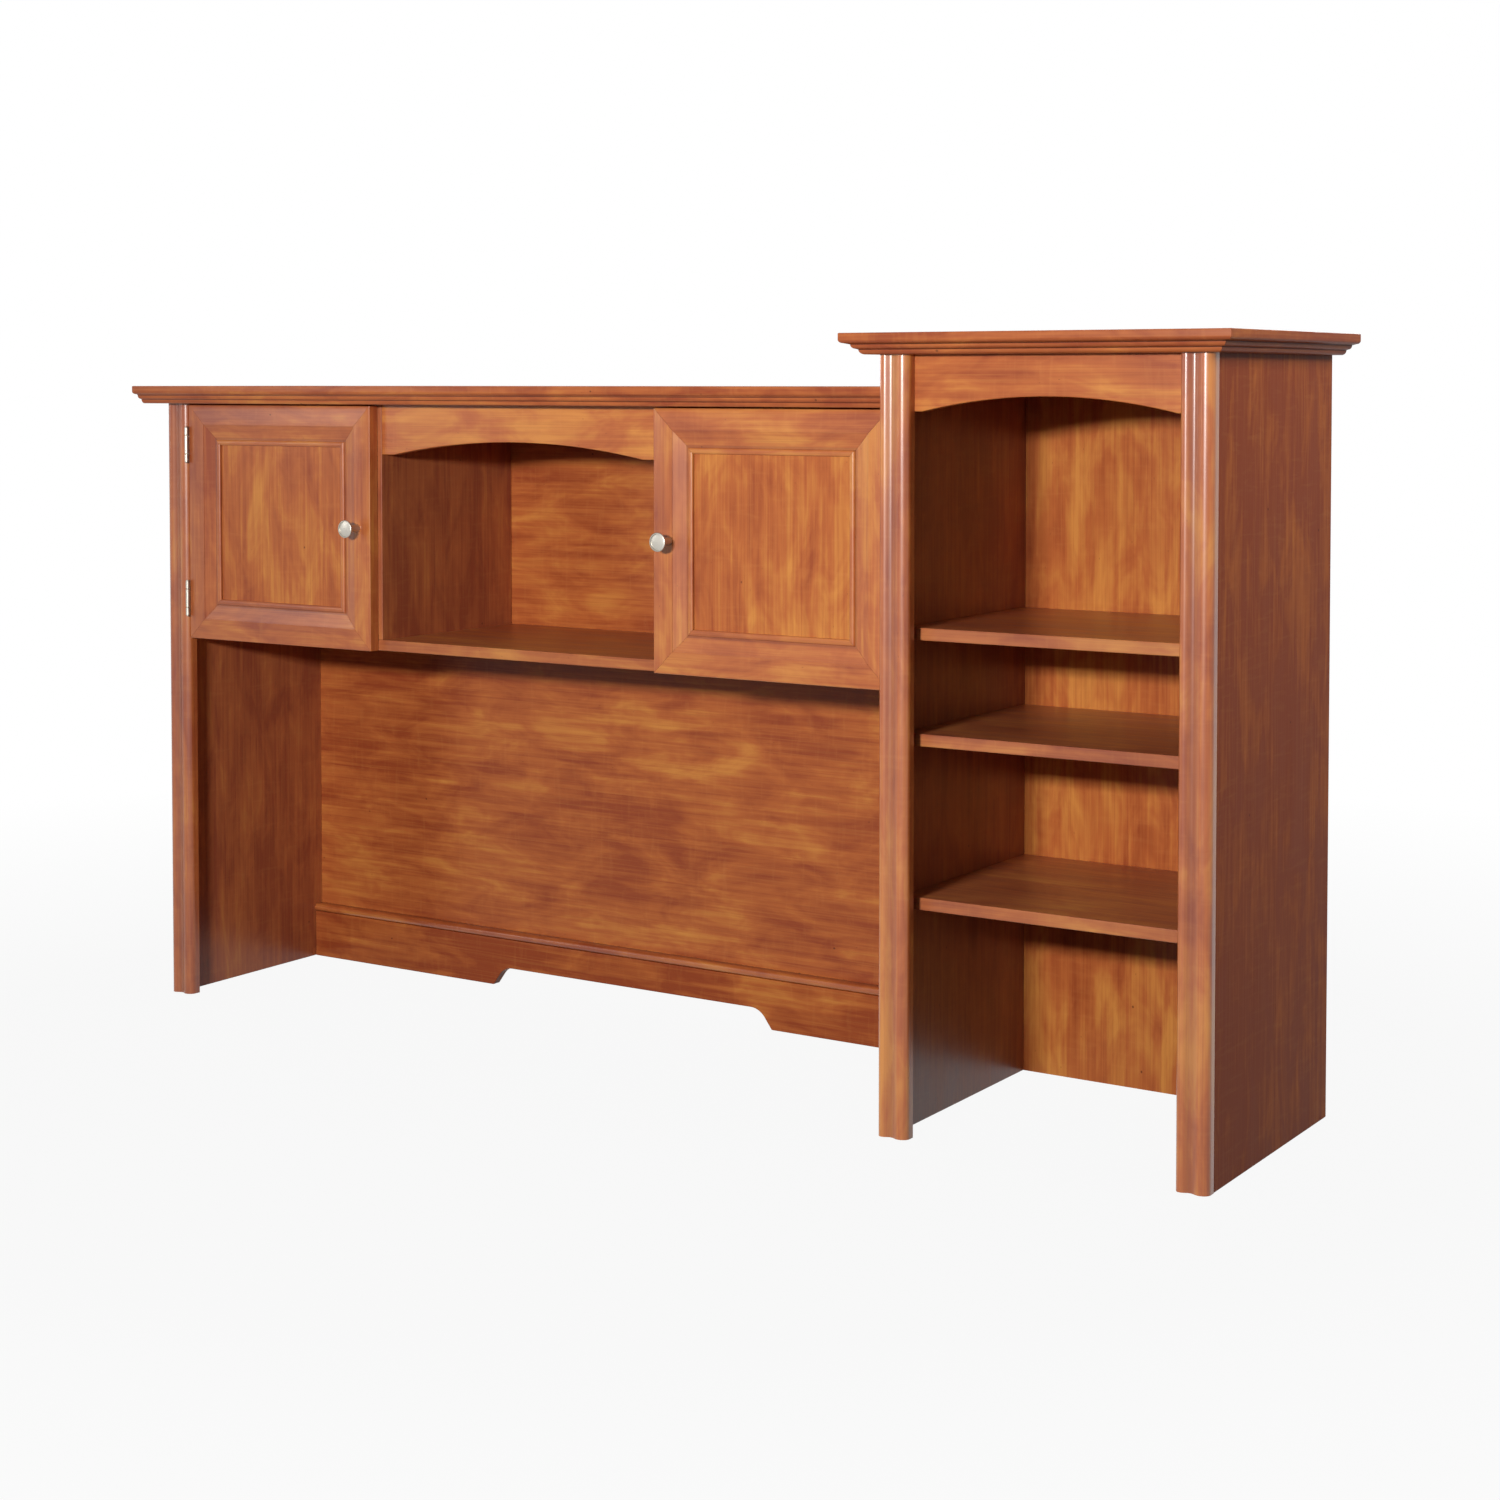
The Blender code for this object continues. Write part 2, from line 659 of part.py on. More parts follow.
def door_frame(hand, hinge_edge, into):
    """The four mitred members; into is the direction from the hinge edge to the free edge."""
    free_edge = hinge_edge + into * DOOR_WIDTH
    section = frame_outline()
    members = []
    for name, edge, inward in (("hinge", hinge_edge, into), ("knob", free_edge, -into)):
        outline = [(edge + inward * across, DOOR_FRONT + depth) for across, depth in section]
        stile = prism(f"{hand}_door_{name}_stile", outline, "Z", DOOR_LOW, DOOR_TOP)
        mitre(stile, (edge, 0.0, DOOR_TOP), (inward, 0.0, 1.0))
        mitre(stile, (edge, 0.0, DOOR_LOW), (inward, 0.0, -1.0))
        members.append(stile)
    for name, edge, upward in (("bottom", DOOR_LOW, 1.0), ("top", DOOR_TOP, -1.0)):
        outline = [(DOOR_FRONT + depth, edge + upward * across) for across, depth in section]
        rail = prism(
            f"{hand}_door_{name}_rail", outline, "X",
            min(hinge_edge, free_edge), max(hinge_edge, free_edge),
        )
        mitre(rail, (hinge_edge, 0.0, edge), (-into, 0.0, upward))
        mitre(rail, (free_edge, 0.0, edge), (into, 0.0, upward))
        members.append(rail)
    lap = FRAME_WIDTH - PANEL_TONGUE
    members.append(board(
        f"{hand}_door_panel",
        (hinge_edge + into * lap, DOOR_FRONT + PANEL_SINK, DOOR_LOW + lap),
        (free_edge - into * lap, DOOR_FRONT + PANEL_SINK + PANEL, DOOR_TOP - lap),
        CHERRY_PANEL,
        eased=False,
    ))
    return members


# Knob on a flared stem, and the screw that holds it from behind the knob stile
def knob(hand, knob_stile, x):
    height = (DOOR_LOW + DOOR_TOP) / 2
    bore = SCREW_RADIUS + FIT
    rim_centre = KNOB_REACH - KNOB_RIM / 2
    rim_inner = KNOB_RADIUS - KNOB_RIM / 2
    dome = [
        (rim_inner * step / ARC_STEPS,
         rim_centre + KNOB_DOME * math.cos(math.pi / 2 * step / ARC_STEPS))
        for step in range(ARC_STEPS)
    ]
    rim = round_over(math.pi / 2, -math.pi, (rim_inner, rim_centre), KNOB_RIM / 2, KNOB_RIM / 2)
    bell_low = rim_centre - KNOB_RIM / 2 - KNOB_BELL
    bell = [
        (KNOB_NECK + (rim_inner - KNOB_NECK) * (1 - math.sin(angle)),
         bell_low + KNOB_BELL * math.cos(angle))
        for angle in (math.pi / 8, math.pi / 4, 3 * math.pi / 8, math.pi / 2)
    ]
    profile = dome + rim + bell
    profile += [(KNOB_FOOT, 0.0), (bore, 0.0), (bore, SCREW_BITE + FIT), (0.0, SCREW_BITE + FIT)]
    facing = (math.pi / 2, 0.0, 0.0)
    place = (x, DOOR_FRONT - FIT, height)
    head = turned(f"{hand}_knob", profile, place, facing, KNOB_STEPS, NICKEL)

    seat = -(DOOR_THICK + 2 * FIT)
    screw_profile = [
        (0.0, SCREW_BITE), (SCREW_RADIUS, SCREW_BITE), (SCREW_RADIUS, seat),
        (SCREW_HEAD_RADIUS, seat), (SCREW_HEAD_RADIUS, seat - SCREW_HEAD / 2),
        (SCREW_HEAD_RADIUS * 0.7, seat - SCREW_HEAD), (0.0, seat - SCREW_HEAD),
    ]
    screw = turned(f"{hand}_knob_screw", screw_profile, place, facing, ROD_SIDES, ZINC)
    combine(knob_stile, "DIFFERENCE", rod_tool(
        (x, DOOR_FRONT - OVERCUT, height), (x, DOOR_BACK + OVERCUT, height), bore,
    ))
    return [head, screw]


# Butt hinge: a leaf on the carcass, a leaf on the door and a headed pin through both
def leaf(name, axis_x, toward, low, own, others):
    """A leaf to one side of the axis; own and others are spans of knuckle along the hinge."""
    axis_y = HUTCH_FRONT - AXIS_FORWARD
    near = axis_x + toward * LEAF_SPACE / 2
    plate = board(
        name,
        (near, axis_y, low),
        (near + toward * LEAF, axis_y + LEAF_REACH, low + HINGE_LENGTH),
        NICKEL,
        eased=False,
    )
    clear = KNUCKLE_RADIUS + KNUCKLE_PLAY
    for start, end in others:
        combine(plate, "DIFFERENCE", box_tool(
            (axis_x - clear, axis_y - clear, low + start),
            (axis_x + clear, axis_y + clear, low + end),
        ))
    for start, end in own:
        combine(plate, "UNION", rod_tool(
            (axis_x, axis_y, low + start), (axis_x, axis_y, low + end), KNUCKLE_RADIUS,
        ))
    combine(plate, "DIFFERENCE", rod_tool(
        (axis_x, axis_y, low - OVERCUT), (axis_x, axis_y, low + HINGE_LENGTH + OVERCUT),
        PIN_RADIUS + FIT,
    ))
    return plate


def hinge(name, axis_x, into, centre):
    """One hinge; returns the leaf that moves with the door."""
    low = centre - HINGE_LENGTH / 2
    end = (HINGE_LENGTH - KNUCKLE_MIDDLE) / 2
    gap = KNUCKLE_PLAY / 2
    outer = ((0.0, end - gap), (HINGE_LENGTH - end + gap, HINGE_LENGTH))
    middle = ((end + gap, HINGE_LENGTH - end - gap),)
    outer_cleared = ((-OVERCUT, end + gap), (HINGE_LENGTH - end - gap, HINGE_LENGTH + OVERCUT))
    middle_cleared = ((end - gap, HINGE_LENGTH - end + gap),)
    leaf(f"{name}_hinge_frame_leaf", axis_x, -into, low, outer, middle_cleared)
    door_leaf = leaf(f"{name}_hinge_door_leaf", axis_x, into, low, middle, outer_cleared)
    high_seat = low + HINGE_LENGTH + FIT
    low_seat = low - FIT
    quarter = -math.pi / 2
    upper = round_over(
        -quarter, quarter, (0.0, high_seat), PIN_HEAD_RADIUS, PIN_HEAD, ROD_ARC_STEPS,
    )
    lower = round_over(0.0, quarter, (0.0, low_seat), PIN_HEAD_RADIUS, PIN_HEAD, ROD_ARC_STEPS)
    profile = [(0.0, high_seat + PIN_HEAD)] + upper[1:]
    profile += [(PIN_RADIUS, high_seat), (PIN_RADIUS, low_seat)]
    profile += lower[:-1] + [(0.0, low_seat - PIN_HEAD)]
    place = (axis_x, HUTCH_FRONT - AXIS_FORWARD, 0.0)
    turned(f"{name}_hinge_pin", profile, place, (0.0, 0.0, 0.0), ROD_SIDES, NICKEL)
    return door_leaf


# Magnetic catch on the cabinet floor, and the strike plate behind the door
def catch(hand, x):
    strike_front = DOOR_BACK + FIT
    low = CABINET_FLOOR + FIT
    board(
        f"{hand}_catch",
        (x - CATCH_LENGTH / 2, strike_front + STRIKE + FIT, low),
        (x + CATCH_LENGTH / 2, strike_front + STRIKE + FIT + CATCH_DEPTH, low + CATCH_HEIGHT),
        BROWN_PLASTIC,
    )
    return board(
        f"{hand}_strike_plate",
        (x - STRIKE_LENGTH / 2, strike_front, low),
        (x + STRIKE_LENGTH / 2, strike_front + STRIKE, low + CATCH_HEIGHT),
        ZINC,
        eased=False,
    )


def door(hand, hanging, into):
    """A whole door, hung on an empty that stands on its hinge axis."""
    hinge_edge = hanging + into * HINGE_GAP
    axis_x = hinge_edge - into * HINGE_GAP / 2
    free_edge = hinge_edge + into * DOOR_WIDTH
    moving = door_frame(hand, hinge_edge, into)
    knob_stile = moving[1]
    moving += knob(hand, knob_stile, free_edge - into * KNOB_EDGE)
    moving.append(hinge(f"{hand}_lower", axis_x, into, DOOR_LOW + HINGE_END))
    moving.append(hinge(f"{hand}_upper", axis_x, into, DOOR_TOP - HINGE_END))
    moving.append(catch(hand, free_edge - into * CATCH_EDGE))

    axis = bpy.data.objects.new(f"{hand}_door_axis", None)
    axis.location = (axis_x, HUTCH_FRONT - AXIS_FORWARD, DOOR_LOW)
    PARTS.objects.link(axis)
    bpy.context.view_layer.update()
    for piece in moving:
        piece.parent = axis
        piece.matrix_parent_inverse = axis.matrix_world.inverted()


for unit in (HUTCH, TOWER):
    sides(unit)
    pilasters(unit)
    top(unit)
    back_panel(unit)
crown_front(HUTCH, mitred_right=False)
crown_return(HUTCH, "left")
crown_front(TOWER, mitred_right=True)
crown_return(TOWER, "left")
crown_return(TOWER, "right")
valance(
    HUTCH,
    partition_face(LEFT_HANGING, 1.0) + FIT,
    partition_face(RIGHT_HANGING, -1.0) - FIT,
    HUTCH_VALANCE_EAR, HUTCH_VALANCE_DROP, HUTCH_VALANCE_RISE,
)
valance(
    TOWER,
    TOWER_LEFT + BOARD + FIT,
    TOWER_RIGHT - BOARD - FIT,
    PILASTER_WIDTH - BOARD + TOWER_VALANCE_EAR, TOWER_VALANCE_DROP, TOWER_VALANCE_RISE,
)
apron()
cabinet()
shelves()
door("left", LEFT_HANGING, 1.0)
door("right", RIGHT_HANGING, -1.0)
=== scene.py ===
import math

import bpy
from mathutils import Matrix, Quaternion, Vector


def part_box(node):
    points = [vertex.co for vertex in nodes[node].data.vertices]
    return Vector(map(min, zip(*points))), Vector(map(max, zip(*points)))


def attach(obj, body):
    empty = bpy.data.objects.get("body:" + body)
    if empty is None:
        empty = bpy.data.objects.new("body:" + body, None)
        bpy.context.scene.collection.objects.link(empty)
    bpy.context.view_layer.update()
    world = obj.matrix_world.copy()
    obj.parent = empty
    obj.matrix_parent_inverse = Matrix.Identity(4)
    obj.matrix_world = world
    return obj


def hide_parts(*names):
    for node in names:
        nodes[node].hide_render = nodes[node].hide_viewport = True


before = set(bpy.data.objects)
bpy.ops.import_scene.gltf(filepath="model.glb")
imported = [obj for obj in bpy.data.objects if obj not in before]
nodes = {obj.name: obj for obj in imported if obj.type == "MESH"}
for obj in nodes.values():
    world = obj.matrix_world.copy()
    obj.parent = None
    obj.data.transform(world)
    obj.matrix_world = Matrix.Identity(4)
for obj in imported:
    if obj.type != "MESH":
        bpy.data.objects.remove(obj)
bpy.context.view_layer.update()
bpy.ops.object.select_all(action="DESELECT")


# Carcass boards: sides, tops, cabinet floor, partitions, shelves, thin rails, valances and apron.
# They are sawn from veneered board, eased along their edges and let into each other in dados.
# All the wood is cherry, stained a warm red brown and sprayed with clear satin lacquer.
def linear(code):
    """An sRGB colour such as b5673a, as linear red, green and blue, and alpha 1."""
    shares = [int(code[place:place + 2], 16) / 255 for place in (0, 2, 4)]
    return [s / 12.92 if s <= 0.04045 else ((s + 0.055) / 1.055) ** 2.4 for s in shares] + [1.0]


def add_node(material, kind, settings, inputs):
    """Add a node, with its settings, and its inputs set or linked."""
    node = material.node_tree.nodes.new(kind)
    for name, value in settings.items():
        setattr(node, name, value)
    for socket, value in inputs.items():
        if isinstance(value, bpy.types.NodeSocket):
            material.node_tree.links.new(value, node.inputs[socket])
        else:
            node.inputs[socket].default_value = value
    return node


# The wood pattern's own X runs along the grain, and each board is cut from a new place in it
GRAIN_TURN = {"X": (0.0, 0.0, 0.0), "Y": (0.0, 0.0, -math.pi / 2), "Z": (0.0, math.pi / 2, 0.0)}
NEXT_BOARD = (0.731, 0.317, 0.193)
boards_cut = 0


# Stained cherry veneer under satin lacquer: close-grained and smooth, so the eye sees amber and
# red-brown patches drawn out along the grain, faint grain lines, a little cross curl, and the
# dark pin knots and gum flecks of cherry, all under one even clear gloss.
def stained_cherry(piece, grain, tone=0.0, gloss=0.35, dull=0.0, blur=0.27):
    """The finish of one board; tone above 0 leans to amber, below 0 to red brown.

    How far the colour is greyed is a painted reflection: it stands in for the grey sheen of the
    lacquer on boards that lie in shade.
    Blur is the roughness of the clear coat: mouldings are rubbed out smoother than boards.
    """
    global boards_cut
    boards_cut += 1
    material = bpy.data.materials.new(f"lacquered_cherry_{piece}")
    material.use_nodes = True
    shader = material.node_tree.nodes["Principled BSDF"]
    place = add_node(material, "ShaderNodeTexCoord", {}, {})
    cut = add_node(material, "ShaderNodeMapping", {}, {
        "Vector": place.outputs["Object"],
        "Rotation": GRAIN_TURN[grain],
        "Location": [shift * boards_cut for shift in NEXT_BOARD],
    })

    # Each pattern: its length along the grain and its width across it, in metres
    def drawn_out(kind, along, across, settings, inputs):
        scaled = add_node(material, "ShaderNodeMapping", {}, {
            "Vector": cut.outputs["Vector"],
            "Scale": (1 / along, 1 / across, 1 / across),
        })
        return add_node(material, kind, settings, {"Vector": scaled.outputs["Vector"], **inputs})

    noise = "ShaderNodeTexNoise"
    streak = drawn_out(noise, 0.240, 0.009, {}, {
        "Scale": 1.0, "Detail": 3.0, "Roughness": 0.55, "Distortion": 0.25,
    })
    cloud = drawn_out(noise, 0.140, 0.048, {}, {
        "Scale": 1.0, "Detail": 3.0, "Roughness": 0.60, "Distortion": 0.6,
    })
    broad = drawn_out(noise, 0.450, 0.200, {}, {"Scale": 1.0, "Detail": 2.0, "Roughness": 0.5})
    # Real pores are finer than a pixel, so the grain lines are drawn 2.4 mm apart
    line = drawn_out(noise, 0.300, 0.0024, {}, {"Scale": 1.0, "Detail": 2.0, "Roughness": 0.5})
    curl = drawn_out(noise, 0.009, 0.060, {}, {"Scale": 1.0, "Detail": 2.0, "Distortion": 0.5})
    knot = drawn_out("ShaderNodeTexVoronoi", 0.075, 0.060, {}, {"Scale": 1.0})
    fleck = drawn_out("ShaderNodeTexVoronoi", 0.040, 0.018, {}, {"Scale": 1.0})

    figure = streak
    for pattern, share in ((cloud, 0.64), (broad, 0.26)):
        figure = add_node(material, "ShaderNodeMix", {"data_type": "FLOAT"}, {
            0: share, 2: figure.outputs[0], 3: pattern.outputs[0],
        })
    colour = add_node(material, "ShaderNodeValToRGB", {}, {"Fac": figure.outputs[0]})
    ramp = colour.color_ramp
    ramp.elements[0].position = 0.37 - tone
    ramp.elements[0].color = linear("944424")
    ramp.elements[1].position = 0.63 - tone
    ramp.elements[1].color = linear("cc843f")
    ramp.elements.new(0.50 - tone).color = linear("b36131")
    coloured = colour.outputs["Color"]
    patches = (
        (line.outputs[0], 0.50, 0.78, 0.22, "7a371c"),
        (line.outputs[0], 0.48, 0.24, 0.14, "d6944f"),
        (curl.outputs[0], 0.54, 0.80, 0.10, "d8924f"),
        (knot.outputs["Distance"], 0.036, 0.016, 0.75, "3f180b"),
        (fleck.outputs["Distance"], 0.050, 0.022, 0.40, "5a2511"),
    )
    for source, start, full, share, code in patches:
        amount = add_node(material, "ShaderNodeMapRange", {}, {
            "Value": source, "From Min": start, "From Max": full, "To Max": share,
        })
        mixed = add_node(material, "ShaderNodeMix", {"data_type": "RGBA"}, {
            0: amount.outputs["Result"], 6: coloured, 7: linear(code),
        })
        coloured = mixed.outputs[2]

    # Quirks, hollows and joints of the mouldings are darkened where the mesh says so: partly glaze
    # gathered in the joints, partly painted shade where the recesses fall into shadow
    glaze_and_shade_attribute = add_node(material, "ShaderNodeAttribute", {"attribute_name": "glaze_and_painted_shade"}, {})
    glaze_and_shade_mix = add_node(material, "ShaderNodeMix", {"data_type": "RGBA"}, {
        0: glaze_and_shade_attribute.outputs["Fac"], 6: coloured, 7: linear("45190d"),
    })
    # Boards that lie in shade are greyed a little: a painted reflection of the lacquer's grey sheen
    painted_sheen_mix = add_node(material, "ShaderNodeMix", {"data_type": "RGBA"}, {
        0: dull, 6: glaze_and_shade_mix.outputs[2], 7: linear("7c685c"),
    })
    sheen = add_node(material, "ShaderNodeMapRange", {}, {
        "Value": cloud.outputs[0], "From Min": 0.3, "From Max": 0.7, "To Min": 0.36, "To Max": 0.46,
    })
    relief = add_node(material, "ShaderNodeBump", {}, {
        "Height": line.outputs[0], "Strength": 0.10, "Distance": 0.0003,
    })
    links = material.node_tree.links
    links.new(painted_sheen_mix.outputs[2], shader.inputs["Base Color"])
    links.new(sheen.outputs["Result"], shader.inputs["Roughness"])
    links.new(relief.outputs["Normal"], shader.inputs["Normal"])
    shader.inputs["IOR"].default_value = 1.46
    shader.inputs["Specular IOR Level"].default_value = 0.25 * gloss
    shader.inputs["Coat Weight"].default_value = gloss
    shader.inputs["Coat Roughness"].default_value = blur
    return material


def lacquer(node, grain, **finish):
    """Give a board of the frame its finish."""
    nodes[node].data.materials[0] = stained_cherry(node, grain, **finish)


# The inner boards, which lie in shade, are greyed a little: a painted reflection of the lacquer's
# grey sheen
for hand in ("left", "right"):
    lacquer(f"hutch_{hand}_side", "Z", tone=-0.08, gloss=0.5, dull=0.15)
    lacquer(f"hutch_{hand}_partition", "Z", tone=-0.06, gloss=0.5, dull=0.15)
lacquer("tower_left_side", "Z", tone=-0.06, gloss=0.5, dull=0.30)
lacquer("tower_right_side", "Z", tone=-0.12, gloss=0.06)
for unit in ("hutch", "tower"):
    lacquer(f"{unit}_top", "X", gloss=0.03)
    lacquer(f"{unit}_top_rail", "X")
lacquer("hutch_valance", "X", tone=0.04, gloss=0.5)
lacquer("tower_valance", "X", tone=0.01)
lacquer("hutch_cabinet_floor", "X", dull=0.15)
lacquer("hutch_apron", "X", tone=-0.09, gloss=0.15)
for height in ("upper", "middle", "lower"):
    lacquer(f"tower_{height}_shelf", "X", tone=-0.02, gloss=0.5, dull=0.15)


# Back panels: thin veneered sheets, slid into rebates behind the sides. The hutch's panel has its
# grain across, and the tower's has it upright.
lacquer("hutch_back_panel", "X", tone=-0.02, gloss=0.3)
lacquer("tower_back_panel", "Z", tone=0.03, gloss=0.2)


# Pilasters: upright mouldings on the front edges of the sides. Each is run from one strip of solid
# cherry, a small round along its left edge, a hollow, and a large round along its right edge, and
# glued on. The hutch's right side stands against the tower and has none.
ARRIS = math.radians(28)      # sharper edges than this stay crisp


def arc(start, turn, centre, half_width, rise, steps):
    """Points along part of an ellipse, from angle start through angle turn."""
    angles = [start + turn * step / steps for step in range(steps + 1)]
    return [
        (centre[0] + half_width * math.cos(a), centre[1] + rise * math.sin(a)) for a in angles
    ]


def place_on_run(run, across, up, along):
    """A point of a moulding's outline, at a distance along the way that it runs."""
    return {"X": (along, across, up), "Y": (across, along, up), "Z": (across, up, along)}[run]


def run_moulding(name, outline, glaze_and_shade, run, start, end, mitres=()):
    """A length of moulding: its outline drawn out along X, Y or Z, and cut at its mitres."""
    bpy.ops.mesh.primitive_circle_add(vertices=len(outline), radius=0.02, fill_type="NGON")
    piece = bpy.context.object
    piece.name = name
    for corner, (across, up) in zip(piece.data.vertices, outline):
        corner.co = place_on_run(run, across, up, start)
    bpy.ops.object.mode_set(mode="EDIT")
    bpy.ops.mesh.select_all(action="SELECT")
    travel = place_on_run(run, 0.0, 0.0, end - start)
    bpy.ops.mesh.extrude_region_move(TRANSFORM_OT_translate={"value": travel})
    for corner, outward in mitres:
        bpy.ops.mesh.select_all(action="SELECT")
        bpy.ops.mesh.bisect(plane_co=corner, plane_no=outward, use_fill=True, clear_outer=True)
    bpy.ops.mesh.select_all(action="SELECT")
    bpy.ops.mesh.normals_make_consistent(inside=False)
    bpy.ops.object.mode_set(mode="OBJECT")
    bpy.ops.object.shade_smooth_by_angle(angle=ARRIS)

    # Each point's share of darkening: glaze in the joints and painted shade in the recesses
    layer = piece.data.attributes.new("glaze_and_painted_shade", "FLOAT", "POINT")
    kept = [axis for axis in range(3) if "XYZ"[axis] != run]
    for corner, amount in zip(piece.data.vertices, layer.data):
        spot = (corner.co[kept[0]], corner.co[kept[1]])
        nearest = min(range(len(outline)), key=lambda n: math.dist(spot, outline[n]))
        amount.value = glaze_and_shade[nearest]
    piece.select_set(False)
    return piece


def fix(piece, body, material, slot, *stands_for):
    """Dress a finished piece, and fix it to its body in place of the frame's nodes."""
    piece.data.materials.clear()
    piece.data.materials.append(material)
    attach(piece, body)
    if stands_for:
        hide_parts(*stands_for)


def pilaster_face(width):
    """Across a pilaster from its left edge: place, depth behind the crests, and painted shade."""
    edge, edge_drop, large, large_drop = 0.008, 0.007, 0.014, 0.012
    hollow, hollow_shade, hollow_steps = 0.0045, 0.30, 32
    rows = [(*p, 0.0) for p in arc(math.pi, math.pi / 2, (edge, edge_drop), edge, edge_drop, 14)]
    span = width - large - edge
    # The hollow is darkened more the deeper it sinks: painted shade
    for step in range(1, hollow_steps):
        share = step / hollow_steps
        dip = (1 - math.cos(2 * math.pi * share)) / 2
        rows.append((edge + span * share, hollow * dip, hollow_shade * dip))
    centre = (width - large, large_drop)
    rows += [(*p, 0.0) for p in arc(-math.pi / 2, math.pi / 2, centre, large, large_drop, 18)]
    return rows


for unit, hands, tone in (("hutch", ("left",), -0.05), ("tower", ("left", "right"), 0.01)):
    for hand in hands:
        node = f"{unit}_{hand}_pilaster"
        low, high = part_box(node)
        face = pilaster_face(high.x - low.x)
        outline = [(low.x + across, low.y + depth) for across, depth, _ in face]
        glaze_and_shade = [amount for _, _, amount in face]
        outline += [(high.x, high.y), (low.x, high.y)]
        glaze_and_shade += [0.0, 0.0]
        pilaster = run_moulding(f"{node}_moulding", outline, glaze_and_shade, "Z", low.z, high.z)
        finish = stained_cherry(node, "Z", tone, gloss=1.0, blur=0.24)
        fix(pilaster, "carcass", finish, "cherry_wood", node)


# Crown mouldings: a flat fascia with a rounded nose, and two quarter rounds stepped in below it.
# They are run in solid cherry, mitred at the corners and glued round the tops.
def crown_outline(height, reach, foot):
    """Outline of a crown: reach from its back face, drop below its top, and darkening in its
    quirks.
    """
    fascia, nose_reach, nose_drop, ease = 0.0100, 0.0058, 0.0053, 0.0015
    upper_start, upper_end, lower_start = 0.0172, 0.0236, 0.0248
    quirk_glaze_and_shade, steps = 0.9, 12
    upper_outer = foot + 0.55 * (reach - foot)
    upper_inner = foot + 0.35 * (reach - foot)
    lower_outer = foot + 0.25 * (reach - foot)
    rounds = (
        ((reach - nose_reach, fascia), nose_reach, nose_drop),
        ((upper_inner, upper_start), upper_outer - upper_inner, upper_end - upper_start),
        ((foot, lower_start), lower_outer - foot, height - lower_start),
    )
    rows = [(0.0, 0.0, 0.0)]
    rows += [(*p, 0.0) for p in arc(-math.pi / 2, math.pi / 2, (reach - ease, ease), ease, ease, 4)]
    for centre, out, drop in rounds:
        edge = arc(0.0, math.pi / 2, centre, out, drop, steps)
        # The quirk above each lower round is darkened: glaze in the joint and painted shade
        rows.append((*edge[0], quirk_glaze_and_shade if centre[1] > fascia else 0.0))
        rows += [(*p, 0.0) for p in edge[1:]]
    return rows + [(0.0, height, 0.0)]


DIAGONAL = math.sqrt(0.5)
MITRE_GAP = 0.00015           # glue line on each side of a mitre
for unit, foot, hands in (("hutch", 0.028, ("left",)), ("tower", 0.014, ("left", "right"))):
    low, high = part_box(f"{unit}_crown_front")
    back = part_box(f"{unit}_top")[1].y
    height = high.z - low.z
    return_low, return_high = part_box(f"{unit}_crown_left")
    reach = return_high.x - return_low.x
    face = high.y
    rows = crown_outline(height, reach, foot)
    glaze_and_shade = [amount for _, _, amount in rows]
    left_face = return_high.x
    right_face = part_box(f"{unit}_crown_right")[0].x if "right" in hands else high.x
    run_out = 0.01            # length left on for cutting the mitres
    set_back = MITRE_GAP / DIAGONAL

    mitres = [(Vector((left_face + set_back, face, 0.0)), (-DIAGONAL, DIAGONAL, 0.0))]
    end = high.x
    if "right" in hands:
        mitres.append((Vector((right_face - set_back, face, 0.0)), (DIAGONAL, DIAGONAL, 0.0)))
        end = high.x + run_out
    outline = [(face - out, high.z - drop) for out, drop, _ in rows]
    front = run_moulding(f"{unit}_crown_front_moulding", outline, glaze_and_shade, "X", low.x - run_out, end,
                         mitres)
    finish = stained_cherry(f"{unit}_crown_front", "X", tone=-0.03)
    fix(front, "carcass", finish, "cherry_wood", f"{unit}_crown_front")
    for hand in hands:
        outward = -1.0 if hand == "left" else 1.0
        side = left_face if hand == "left" else right_face
        outline = [(side + outward * out, high.z - drop) for out, drop, _ in rows]
        corner = Vector((side + outward * set_back, face, 0.0))
        ending = run_moulding(
            f"{unit}_crown_{hand}_moulding", outline, glaze_and_shade, "Y", low.y - run_out, back,
            [(corner, (-outward * DIAGONAL, -DIAGONAL, 0.0))],
        )
        finish = stained_cherry(f"{unit}_crown_{hand}", "Y", tone=-0.06, gloss=0.1)
        fix(ending, "carcass", finish, "cherry_wood", f"{unit}_crown_{hand}")


# Back bead: a strip of solid cherry with a half-round front, glued along the apron's upper edge
# against the back panel.
low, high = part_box("hutch_back_bead")
radius, joint_glaze_and_shade = (high.z - low.z) / 2, 0.8
outline = arc(math.pi / 2, math.pi, (low.y + radius, low.z + radius), radius, radius, 20)
# The joint against the back panel is darkened: glaze in the joint and painted shade where the bead
# meets the panel
glaze_and_shade = [0.0] * (len(outline) - 1) + [joint_glaze_and_shade] * 3
outline += [(high.y, low.z), (high.y, high.z)]
bead = run_moulding("hutch_back_bead_moulding", outline, glaze_and_shade, "X", low.x, high.x)
finish = stained_cherry("hutch_back_bead", "X", tone=-0.02, gloss=0.8)
fix(bead, "carcass", finish, "cherry_wood", "hutch_back_bead")


